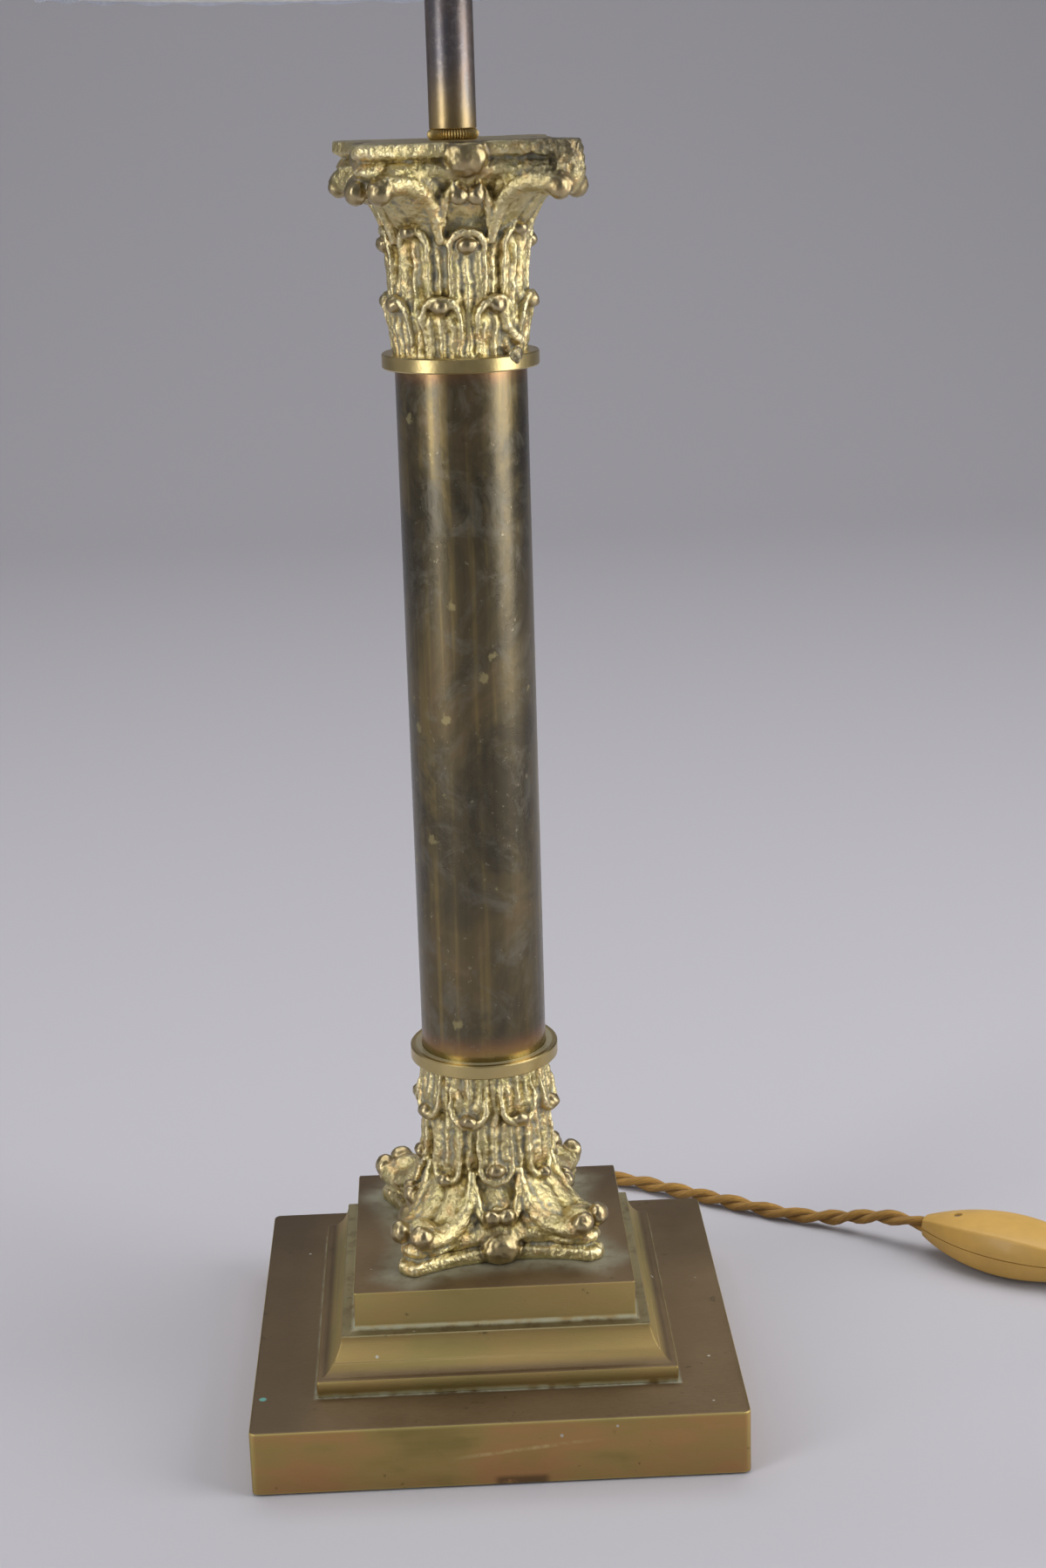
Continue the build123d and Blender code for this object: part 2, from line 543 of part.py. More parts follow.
def rocker():
    """Rocker in its own frame, its pivot at the origin, level."""
    half = ROCKER_LENGTH / 2
    low = ROCKER_PIVOT - 1.9
    face = make_face([Polyline((-half, -low + 0.4), (-half, 1.6), (-4, 2.4), (4, 2.4), (half, 1.6), (half, -low + 0.4)),
                      ThreePointArc((half, -low + 0.4), (0, -low - 0.3), (-half, -low + 0.4))])
    body = extrude(Plane.XZ * face, ROCKER_WIDTH / 2, both=True)
    return body - Rot(90, 0, 0) * Cylinder(1.05, ROCKER_WIDTH + 2)


def make_switch():
    """Two shells, the rocker on its pin, the screw and the terminals."""
    whole, hollow = switch_form(), Box(43, 15.4, 10.4)
    cord_way = Rot(0, 90, 0) * extrude(RegularPolygon(2.8, 8), SWITCH_LENGTH, both=True)
    pivot = Pos(0, 0, ROCKER_PIVOT - SWITCH_MIDDLE)
    screw_hole = rod(1.55, 0, 12, (-20.4, 0))
    back = whole & Pos(0, 0, 10) * Box(80, 40, 20)
    back = back - [hollow, cord_way] + rod(3.0, 0.4, 7, (-20.4, 0)) - screw_hole
    front = whole & Pos(0, 0, -10) * Box(80, 40, 20)
    front -= [hollow, cord_way, Pos(0, 0, -10) * Box(ROCKER_LENGTH + 1.6, ROCKER_WIDTH + 0.8, 18)]
    post = Pos(0, 6.7, -5.2) * Box(4.4, 1.6, 5.6)
    front += [post, mirror(post, Plane.XZ)]
    pin_bore = pivot * Rot(90, 0, 0) * Cylinder(1.05, 30)
    front -= pin_bore & Box(20, 15.2, 20)
    save(place_switch(back), "switch_back_shell")
    save(place_switch(front), "switch_front_shell")
    save(place_switch(pivot * Rot(0, ROCKER_TILT, 0) * rocker()), "switch_rocker")
    save(place_switch(pivot * Rot(90, 0, 0) * Cylinder(1.0, 14.8)), "rocker_pin")
    save(place_switch(rod(1.5, 0.5, 6.0, (-20.4, 0))), "switch_screw")
    block = Pos(17.5, 0, -2.2) * Box(6, 7, 3.6)
    save(place_switch(Compound([block, mirror(block, Plane.YZ)])), "switch_terminals")


def make_plug():
    """Flat two-pin plug with sleeved pins."""
    end = Vector(*PLUG_ROUTE[-1])
    place = Pos(end.X, end.Y, PLUG_THICK / 2) * Rot(0, 0, PLUG_HEADING)
    half = PLUG_WIDTH / 2
    plan = make_face([Polyline((0, -4), (0, 4)), ThreePointArc((0, 4), (6, 6.2), (11, half - 2)),
                      Polyline((11, half - 2), (PLUG_LENGTH, half), (PLUG_LENGTH, -half), (11, 2 - half)),
                      ThreePointArc((11, 2 - half), (6, -6.2), (0, -4))])
    body = chamfer(extrude(plan, PLUG_THICK / 2, both=True).edges().group_by(Axis.Z)[-1], 1.6)
    body = chamfer(body.edges().group_by(Axis.Z)[0], 1.6)
    save(place * body, "plug_body")
    section = Plane.YZ * RegularPolygon(PIN_RADIUS, 16)
    sleeve = Pos(PLUG_LENGTH, PIN_SPACING / 2, 0) * extrude(section, 10)
    pin = Pos(PLUG_LENGTH + 10, PIN_SPACING / 2, 0) * extrude(section, 9)
    save(place * Compound([sleeve, mirror(sleeve, Plane.XZ)]), "pin_sleeves")
    save(place * Compound([pin, mirror(pin, Plane.XZ)]), "plug_pins")


def main():
    os.makedirs("parts", exist_ok=True)
    make_base()
    make_cord_entry()
    make_column()
    make_stem()
    make_lampholder()
    make_bulb()
    make_shade()
    make_cord()
    make_switch()
    make_plug()


main()
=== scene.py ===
"""Fine shapes and finishes of a brass column table lamp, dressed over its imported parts.

Metres, +Z up. The lamp's front faces -Y, and the origin is the middle of the base's
underside, on the table. Relief on the castings is written in millimetres, and MM turns
it into metres.
"""
from __future__ import annotations

import json
import logging
import math
from contextlib import contextmanager
from dataclasses import dataclass
from enum import Enum
from typing import Any, Callable, Iterator, Sequence

import bpy
import numpy as np
from mathutils import Matrix, Vector, noise

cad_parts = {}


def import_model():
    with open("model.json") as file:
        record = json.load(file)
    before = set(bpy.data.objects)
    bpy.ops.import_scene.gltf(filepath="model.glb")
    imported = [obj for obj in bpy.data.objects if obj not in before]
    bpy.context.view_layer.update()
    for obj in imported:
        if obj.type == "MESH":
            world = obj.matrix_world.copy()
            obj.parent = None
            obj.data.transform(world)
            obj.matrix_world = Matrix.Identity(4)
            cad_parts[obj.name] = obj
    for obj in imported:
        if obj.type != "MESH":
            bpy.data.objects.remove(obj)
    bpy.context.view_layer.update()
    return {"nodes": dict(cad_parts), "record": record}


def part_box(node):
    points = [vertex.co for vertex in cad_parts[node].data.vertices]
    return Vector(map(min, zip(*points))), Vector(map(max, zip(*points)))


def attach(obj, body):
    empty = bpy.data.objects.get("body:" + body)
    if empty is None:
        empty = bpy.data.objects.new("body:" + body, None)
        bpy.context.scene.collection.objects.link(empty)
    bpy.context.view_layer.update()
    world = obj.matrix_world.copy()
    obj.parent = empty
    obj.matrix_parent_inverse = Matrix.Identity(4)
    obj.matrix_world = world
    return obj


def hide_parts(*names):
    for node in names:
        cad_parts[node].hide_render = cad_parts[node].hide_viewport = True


LOG = logging.getLogger("lamp")
MM = 0.001
BALL_STEPS = 20
ROD_STEPS, ROD_SIDES = 8, 4
Array = np.ndarray
Pair = tuple[float, float]
Triple = tuple[float, float, float]
Tones = tuple[tuple[float, Triple], ...]
Object = bpy.types.Object
Material = bpy.types.Material


class Body(Enum):
    """The lamp's moving bodies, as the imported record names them."""

    LAMP = "lamp"
    ROCKER = "rocker"
    SHADE = "shade"


# ---------------------------------------------------------------- bench tools

def take(obj: Object) -> Object:
    """Makes one object the only one selected, and active.

    Args:
        obj: The object to take in hand.

    Returns:
        The same object.
    """
    bpy.ops.object.select_all(action="DESELECT")
    obj.select_set(True)
    bpy.context.view_layer.objects.active = obj
    return obj


@contextmanager
def editing(obj: Object, everything: bool = True) -> Iterator[None]:
    """Opens an object in edit mode for as long as the block runs.

    Args:
        obj: The mesh object to edit.
        everything: Whether the whole mesh starts selected.

    Yields:
        Nothing, once the object is open.
    """
    take(obj)
    bpy.ops.object.mode_set(mode="EDIT")
    if everything:
        bpy.ops.mesh.select_all(action="SELECT")
    yield
    bpy.ops.object.mode_set(mode="OBJECT")


def select_only(obj: Object, wanted: Sequence[Any], by_edge: bool) -> None:
    """Selects some faces or edges of a mesh and nothing else, ready for edit mode.

    Args:
        obj: The mesh object.
        wanted: The faces or the edges.
        by_edge: Whether they are edges.
    """
    bpy.context.tool_settings.mesh_select_mode = (False, by_edge, not by_edge)
    for item in (*obj.data.vertices, *obj.data.edges, *obj.data.polygons):
        item.select = False
    for item in wanted:
        item.select = True


def corners(obj: Object) -> Array:
    """Reads where an object's vertices are.

    Args:
        obj: The mesh object.

    Returns:
        One row for each vertex.
    """
    flat = np.empty(len(obj.data.vertices) * 3)
    obj.data.vertices.foreach_get("co", flat)
    return flat.reshape(-1, 3)


def put(obj: Object, where: Array) -> None:
    """Moves the object's vertices to an array of points."""
    obj.data.vertices.foreach_set("co", where.ravel())
    obj.data.update()


def polar(points: Array) -> tuple[Array, Array]:
    """Each point's distance from Z and its angle about it."""
    return np.hypot(points[:, 0], points[:, 1]), np.arctan2(points[:, 1], points[:, 0])


def engrave(obj: Object, depth: Callable[[Array, Array, Array], Array]) -> None:
    """Sinks the skin of a turned piece towards Z.

    Args:
        obj: The piece.
        depth: How deep, from distances to Z, angles about it and heights.
    """
    points = corners(obj)
    radius, angle = polar(points)
    points[:, :2] *= (1 - depth(radius, angle, points[:, 2]) / radius)[:, None]
    put(obj, points)


def mark(obj: Object, name: str, values: Array) -> None:
    """Stores one number for each vertex of a mesh as an attribute."""
    attribute = obj.data.attributes.new(name, "FLOAT", "POINT")
    attribute.data.foreach_set("value", np.asarray(values, dtype=np.float32))


def unwrap(obj: Object, name: str, places: Array) -> None:
    """Stores a map from the mesh to a plane.

    Args:
        obj: The mesh object.
        name: The map's name.
        places: Where each vertex lies on the plane.
    """
    layer = obj.data.uv_layers.new(name=name)
    vertex = np.empty(len(obj.data.loops), dtype=np.int64)
    obj.data.loops.foreach_get("vertex_index", vertex)
    layer.data.foreach_set("uv", places[vertex].ravel().astype(np.float32))


def finish_modifier(obj: Object, kind: str, **settings: Any) -> None:
    """Adds a modifier with its settings and applies it.

    Args:
        obj: The object to modify.
        kind: The modifier's type.
        **settings: The modifier's own properties.
    """
    take(obj)
    modifier = obj.modifiers.new(kind.title(), kind)
    for name, value in settings.items():
        setattr(modifier, name, value)
    bpy.ops.object.modifier_apply(modifier=modifier.name)


def cut(obj: Object, cutter: Object) -> None:
    """Cuts one piece's form out of another and throws the cutter away."""
    finish_modifier(obj, "BOOLEAN", object=cutter, operation="DIFFERENCE", solver="EXACT")
    bpy.data.objects.remove(cutter)


def mend(obj: Object, gap: float = 1e-6) -> None:
    """Merges doubled vertices and turns every face outwards.

    Args:
        obj: The mesh object.
        gap: How close vertices are that merge.
    """
    with editing(obj):
        bpy.ops.mesh.remove_doubles(threshold=gap)
        bpy.ops.mesh.normals_make_consistent(inside=False)


def shade(obj: Object, degrees: float = 35.0) -> Object:
    """Smooths the object's shading across its flatter edges.

    Args:
        obj: The mesh object.
        degrees: The angle from which an edge stays sharp.

    Returns:
        The same object.
    """
    take(obj)
    bpy.ops.object.shade_smooth_by_angle(angle=math.radians(degrees))
    return obj


def join(parts: Sequence[Object], name: str) -> Object:
    """Joins several objects into one mesh.

    Args:
        parts: The objects, of which the first one stays.
        name: The name of the result.

    Returns:
        The joined object.
    """
    take(parts[0])
    for part in parts:
        part.select_set(True)
    bpy.ops.object.join()
    parts[0].name = name
    return parts[0]


def lay(obj: Object, where: Triple, degrees: float) -> Object:
    """Turns a piece about Z and moves it to its place, mesh and all."""
    obj.data.transform(Matrix.Translation(where) @ Matrix.Rotation(math.radians(degrees), 4, "Z"))
    return obj


def new_object(name: str, data: bpy.types.ID) -> Object:
    """Puts some data into the scene as an object.

    Args:
        name: The object's name.
        data: Its mesh, curve, light or camera.

    Returns:
        The object.
    """
    obj = bpy.data.objects.new(name, data)
    bpy.context.scene.collection.objects.link(obj)
    return obj


def mesh_object(name: str, points: Sequence, edges: Sequence = (), faces: Sequence = ()) -> Object:
    """Makes an object from points, edges and faces.

    Args:
        name: The piece's name.
        points: Its corners.
        edges: Each edge's two corners, by number.
        faces: Each face's corners, by number.

    Returns:
        The object.
    """
    mesh = bpy.data.meshes.new(name)
    mesh.from_pydata([tuple(p) for p in points], list(edges), list(faces))
    return new_object(name, mesh)


def sheet_of(name: str, size: float, across: int, down: int) -> tuple[Object, Array]:
    """Makes a flat square grid, to be bent into a form.

    Args:
        name: The piece's name.
        size: Its width.
        across: Rows of faces along X.
        down: Rows of faces along Y.

    Returns:
        The grid and its points.
    """
    bpy.ops.mesh.primitive_grid_add(x_subdivisions=across, y_subdivisions=down, size=size)
    grid = bpy.context.object
    grid.name = name
    return grid, corners(grid)


def turned(name: str, outline: Sequence[Pair], steps: int = 96) -> Object:
    """Turns a piece on the lathe: an outline spun about Z.

    Args:
        name: The piece's name.
        outline: Radius and height of each corner, in order.
        steps: How many sides the turning has.

    Returns:
        The closed, outward-facing piece.
    """
    points = [(radius, 0.0, height) for radius, height in outline]
    obj = mesh_object(name, points, [(i, i + 1) for i in range(len(points) - 1)])
    with editing(obj):
        bpy.ops.mesh.spin(steps=steps, angle=2 * math.pi, center=(0, 0, 0), axis=(0, 0, 1))
    mend(obj)
    return obj


def block(name: str, size: Triple, centre: Triple) -> Object:
    """Makes a rectangular block.

    Args:
        name: The piece's name.
        size: Its width, depth and height.
        centre: Where its middle is.

    Returns:
        The block.
    """
    bpy.ops.mesh.primitive_cube_add(size=1, location=centre)
    obj = bpy.context.object
    obj.name, obj.scale = name, size
    bpy.ops.object.transform_apply(location=True, rotation=True, scale=True)
    return obj


def washer(bore: float, wide: float, low: float, high: float, soft: float) -> list[Pair]:
    """Draws a ring's outline for the lathe, its outer rims softened.

    Args:
        bore: Inner radius.
        wide: Outer radius.
        low: Height of its underside.
        high: Height of its top.
        soft: How much its outer rims are softened.

    Returns:
        The closed outline.
    """
    return [(bore, low), (wide - soft, low), (wide, low + soft), (wide, high - soft),
            (wide - soft, high), (bore, high), (bore, low)]


def in_metres(lengths: Sequence[float]) -> tuple[float, ...]:
    """Turns millimetres into metres."""
    return tuple(length * MM for length in lengths)


def ball(radii: Triple, centre: Triple, degrees: float = 0.0) -> Object:
    """Makes an egg-shaped lump.

    Args:
        radii: Its three half sizes, in millimetres.
        centre: Its middle, in millimetres.
        degrees: How far it is turned about Z at its middle.

    Returns:
        The lump.
    """
    bpy.ops.mesh.primitive_uv_sphere_add(segments=BALL_STEPS, ring_count=BALL_STEPS // 2, radius=1,
                                         location=in_metres(centre))
    obj = bpy.context.object
    obj.scale, obj.rotation_euler = in_metres(radii), (0, 0, math.radians(degrees))
    bpy.ops.object.transform_apply(location=True, rotation=True, scale=True)
    return obj


def smooth_line(name: str, points: Sequence[Sequence[float]], steps: int) -> Object:
    """Draws a curve that follows some points smoothly.

    Args:
        name: The curve's name.
        points: The points, of which it touches the first and the last.
        steps: Steps between two points.

    Returns:
        The curve's object.
    """
    curve = bpy.data.curves.new(name, "CURVE")
    curve.dimensions, curve.resolution_u = "3D", steps
    spline = curve.splines.new("NURBS")
    spline.points.add(len(points) - 1)
    for knot, point in zip(spline.points, points):
        knot.co = (*point, 1.0)
    spline.order_u = 3
    spline.use_endpoint_u = True
    return new_object(name, curve)


def tube(name: str, points: Sequence[Sequence[float]], radii: float | Sequence[float]) -> Object:
    """Makes a rod along a smooth line, as thick at each point as asked.

    Args:
        name: The piece's name.
        points: The line's points.
        radii: One radius, or one for each point.

    Returns:
        The rod as a mesh.
    """
    rod = smooth_line(name, points, ROD_STEPS)
    curve = rod.data
    curve.bevel_depth, curve.bevel_resolution, curve.use_fill_caps = 1.0, ROD_SIDES, True
    for i, knot in enumerate(curve.splines[0].points):
        knot.radius = radii if isinstance(radii, float) else radii[i]
    take(rod)
    bpy.ops.object.convert(target="MESH")
    rod = bpy.context.object
    mend(rod)
    return rod


def turned_copy(obj: Object, angle: float, mirrored: bool) -> Object:
    """Copies a piece with its own mesh, turned about Z.

    Args:
        obj: The piece.
        angle: How far the copy is turned, in radians.
        mirrored: Whether it is mirrored across the YZ plane first.

    Returns:
        The copy.
    """
    copy = new_object(obj.name, obj.data.copy())
    matrix = Matrix.Rotation(angle, 4, "Z")
    if mirrored:
        matrix = matrix @ Matrix.Diagonal((-1, 1, 1, 1))
    copy.data.transform(matrix)
    if mirrored:
        copy.data.flip_normals()
    return copy


def ring_of(obj: Object, count: int, first: float = 0.0, mirrored: bool = False) -> list[Object]:
    """Copies a piece evenly about Z and removes the original.

    Args:
        obj: The piece, facing -Y.
        count: How many copies.
        first: Angle of the first one, in degrees.
        mirrored: Whether each copy has a mirrored twin.

    Returns:
        The copies.
    """
    turns = [math.radians(first) + 2 * math.pi * i / count for i in range(count)]
    twins = (False, True) if mirrored else (False,)
    copies = [turned_copy(obj, turn, twin) for turn in turns for twin in twins]
    bpy.data.objects.remove(obj)
    return copies


def ease(value: Array) -> Array:
    """Smooth step from 0 to 1 of an array."""
    t = np.clip(value, 0.0, 1.0)
    return t * t * (3 - 2 * t)


def bell_curve(value: Array) -> Array:
    """A smooth ridge, 1 at 0 and gone at 2 either way."""
    return np.exp(-(value ** 2))


def rough(points: Array, scale: float, seed: float = 0.0) -> Array:
    """Smooth noise between about -1 and 1 at each of some points.

    Args:
        points: The points, in metres.
        scale: Size of the noise's features, in metres.
        seed: Moves the noise to another place.

    Returns:
        One value for each point.
    """
    shift = Vector((seed, 2.3 * seed, -seed))
    return np.array([noise.noise(Vector(p) / scale + shift) for p in points])


def neighbour_mean(edges: Array, values: Array) -> Array:
    """Averages values over each vertex's neighbours.

    Args:
        edges: Each edge's two vertices, by number.
        values: One row for each vertex.

    Returns:
        The means, one row for each vertex.
    """
    total = np.zeros_like(values)
    count = np.bincount(edges.ravel(), minlength=len(values))[:, None]
    for axis in range(values.shape[1]):
        total[:, axis] = (np.bincount(edges[:, 0], values[edges[:, 1], axis], len(values))
                          + np.bincount(edges[:, 1], values[edges[:, 0], axis], len(values)))
    return total / np.maximum(count, 1)


def vertex_normals(obj: Object) -> Array:
    """Reads which way a mesh faces.

    Args:
        obj: The mesh object.

    Returns:
        One row for each vertex.
    """
    flat = np.empty(len(obj.data.vertices) * 3)
    obj.data.vertices.foreach_get("normal", flat)
    return flat.reshape(-1, 3)


def mark_hollows(obj: Object, rounds: int = 7, depth: float = 0.35 * MM) -> None:
    """Stores how hollow or proud each place is, as an attribute from 0, proud, to 1, hollow.

    Args:
        obj: The mesh object.
        rounds: How widely the surface is averaged.
        depth: The depth that counts as fully hollow.
    """
    mesh = obj.data
    edges = np.empty(len(mesh.edges) * 2, dtype=np.int64)
    mesh.edges.foreach_get("vertices", edges)
    here = mean = corners(obj)
    for _ in range(rounds):
        mean = neighbour_mean(edges.reshape(-1, 2), mean)
    hollow = np.einsum("ij,ij->i", mean - here, vertex_normals(obj)) / depth
    mark(obj, "hollow", np.clip(0.5 + 0.5 * hollow, 0, 1))


# ---------------------------------------------------------------- shader maths

class Value:
    """A number that varies over a surface; sums on it add Math nodes."""

    def __init__(self, recipe: "Recipe", socket: bpy.types.NodeSocket) -> None:
        """Wraps one output socket of a recipe's node."""
        self.recipe, self.socket = recipe, socket

    def _sum(self, operation: str, *terms: Any) -> "Value":
        """Adds a Math node of that operation on the terms."""
        return self.recipe.node("ShaderNodeMath", {"operation": operation}, dict(enumerate(terms)))

    def __add__(self, other: Any) -> "Value":
        """Adds."""
        return self._sum("ADD", self, other)

    def __sub__(self, other: Any) -> "Value":
        """Subtracts."""
        return self._sum("SUBTRACT", self, other)

    def __rsub__(self, other: Any) -> "Value":
        """Subtracts from a number."""
        return self._sum("SUBTRACT", other, self)

    def __mul__(self, other: Any) -> "Value":
        """Multiplies."""
        return self._sum("MULTIPLY", self, other)

    def __truediv__(self, other: Any) -> "Value":
        """Divides."""
        return self._sum("DIVIDE", self, other)

    def __abs__(self) -> "Value":
        """The value without its sign."""
        return self._sum("ABSOLUTE", self)

    __radd__, __rmul__ = __add__, __mul__

    def max(self, other: Any) -> "Value":
        """The larger of two."""
        return self._sum("MAXIMUM", self, other)

    def min(self, other: Any) -> "Value":
        """The smaller of two."""
        return self._sum("MINIMUM", self, other)

    def sine(self) -> "Value":
        """The sine of an angle in radians."""
        return self._sum("SINE", self)

    def length_with(self, other: "Value") -> "Value":
        """The length of a step of this much one way and the other value across."""
        return self._sum("SQRT", self * self + other * other)

    def step(self, low: float, high: float) -> "Value":
        """Rises smoothly from 0 at one value to 1 at another.

        Args:
            low: Where it is 0.
            high: Where it is 1, which may be the lower one.

        Returns:
            The step.
        """
        if low > high:
            return 1 - self.step(high, low)
        return self.recipe.node("ShaderNodeMapRange", {"interpolation_type": "SMOOTHSTEP"},
                                {0: self, 1: low, 2: high, 3: 0.0, 4: 1.0})

    def near(self, middle: float, far: float, close: float) -> "Value":
        """Rises smoothly from 0 far from a value to 1 close to it."""
        return abs(self - middle).step(far, close)


def times(factor: float, colour: Triple) -> Triple:
    """A linear colour made darker or brighter."""
    return tuple(factor * channel for channel in colour)


class Recipe:
    """One procedural material, built node by node. Its colours are linear."""

    def __init__(self, name: str) -> None:
        """Starts an empty material with its place on the object at hand.

        Args:
            name: The material's name.
        """
        self.material = bpy.data.materials.new(name)
        self.material.use_nodes = True
        self.tree = self.material.node_tree
        self.tree.nodes.clear()
        self.place = self.node("ShaderNodeTexCoord", output="Object")
        self.x, self.y, self.z = (self.part(self.place, axis) for axis in range(3))

    def node(self, kind: str, settings: dict[str, Any] | None = None, inputs: dict[Any, Any] | None = None,
             output: int | str = 0) -> Value:
        """Adds any node.

        Args:
            kind: The node's type.
            settings: Its properties, set first; "stops" are a colour ramp's.
            inputs: Values or links of its sockets, by number or name.
            output: Which output to return.

        Returns:
            The output, wrapped.
        """
        made = self.tree.nodes.new(kind)
        for name, value in (settings or {}).items():
            if name == "stops":
                self._set_stops(made.color_ramp, value)
            else:
                setattr(made, name, value)
        for key, value in (inputs or {}).items():
            if isinstance(value, Value):
                self.tree.links.new(value.socket, made.inputs[key])
            else:
                made.inputs[key].default_value = value
        return Value(self, made.outputs[output])

    @staticmethod
    def _set_stops(ramp: bpy.types.ColorRamp, stops: Tones) -> None:
        """Gives a colour ramp its stops.

        Args:
            ramp: The ramp.
            stops: Place and colour of each stop, in order.
        """
        while len(ramp.elements) < len(stops):
            ramp.elements.new(1.0)
        for element, (position, colour) in zip(ramp.elements, stops):
            element.position, element.color = position, (*colour, 1.0)

    def part(self, vector: Value, axis: int) -> Value:
        """One of a vector's three parts."""
        return self.node("ShaderNodeSeparateXYZ", inputs={0: vector}, output=axis)

    def noise(self, where: Value, scale: float, detail: float, roughness: float = 0.5,
              distortion: float = 0.0) -> Value:
        """Noise from 0 to 1, with about this many features a metre of the place."""
        return self.node("ShaderNodeTexNoise", inputs={"Vector": where, "Scale": scale, "Detail": detail,
                                                       "Roughness": roughness, "Distortion": distortion})

    def stretch(self, where: Value, factors: Triple) -> Value:
        """A place multiplied along each axis."""
        return self.node("ShaderNodeVectorMath", {"operation": "MULTIPLY"}, {0: where, 1: factors})

    def grain(self, scale: float, detail: float = 3.0, stretch: Triple = (1, 1, 1), roughness: float = 0.5,
              distortion: float = 0.0) -> Value:
        """Noise over the object, finer along the axes that are stretched more."""
        return self.noise(self.stretch(self.place, stretch), scale, detail, roughness, distortion)

    def cells(self, scale: float) -> Value:
        """Distance to the nearest of many scattered places, in cells."""
        return self.node("ShaderNodeTexVoronoi", inputs={"Vector": self.place, "Scale": scale})

    def blend(self, factor: Any, low: Value | Triple, high: Value | Triple) -> Value:
        """A colour between two."""
        low, high = (c if isinstance(c, Value) else (*c, 1.0) for c in (low, high))
        return self.node("ShaderNodeMix", {"data_type": "RGBA"}, {0: factor, 6: low, 7: high}, output=2)

    def ramp(self, value: Value, tones: Tones) -> Value:
        """A colour for each value from 0 to 1."""
        return self.node("ShaderNodeValToRGB", {"stops": tones}, {0: value})

    def attribute(self, name: str) -> Value:
        """A number stored on the mesh."""
        return self.node("ShaderNodeAttribute", {"attribute_name": name}, output="Fac")

    def upward(self) -> Value:
        """How much the surface faces up, from -1 to 1."""
        return self.part(self.node("ShaderNodeNewGeometry", output="Normal"), 2)

    def bump(self, height: Value, distance: float, below: Value | None = None) -> Value:
        """Bumps the surface.

        Args:
            height: The relief, from 0 to 1.
            distance: What its full height is.
            below: A bumped normal that it lies on.

        Returns:
            The bumped normal.
        """
        inputs: dict[str, Any] = {"Height": height, "Distance": distance, "Strength": 1.0}
        if below:
            inputs["Normal"] = below
        return self.node("ShaderNodeBump", inputs=inputs)

    def surface(self, colour: Value, roughness: Any, metallic: Any = 0.0, normal: Value | None = None,
                **constants: float) -> Material:
        """Closes the recipe with its surface.

        Args:
            colour: Base colour.
            roughness: Roughness.
            metallic: How metallic it is.
            normal: The bumped normal.
            **constants: Other sockets of the shader, spaces written as underscores.

        Returns:
            The finished material.
        """
        inputs: dict[str, Any] = {"Base Color": colour, "Roughness": roughness, "Metallic": metallic}
        inputs.update({name.replace("_", " "): value for name, value in constants.items()})
        if normal:
            inputs["Normal"] = normal
        shader = self.node("ShaderNodeBsdfPrincipled", inputs=inputs)
        output = self.tree.nodes.new("ShaderNodeOutputMaterial")
        self.tree.links.new(shader.socket, output.inputs["Surface"])
        return self.material


# ---------------------------------------------------------------- finishes

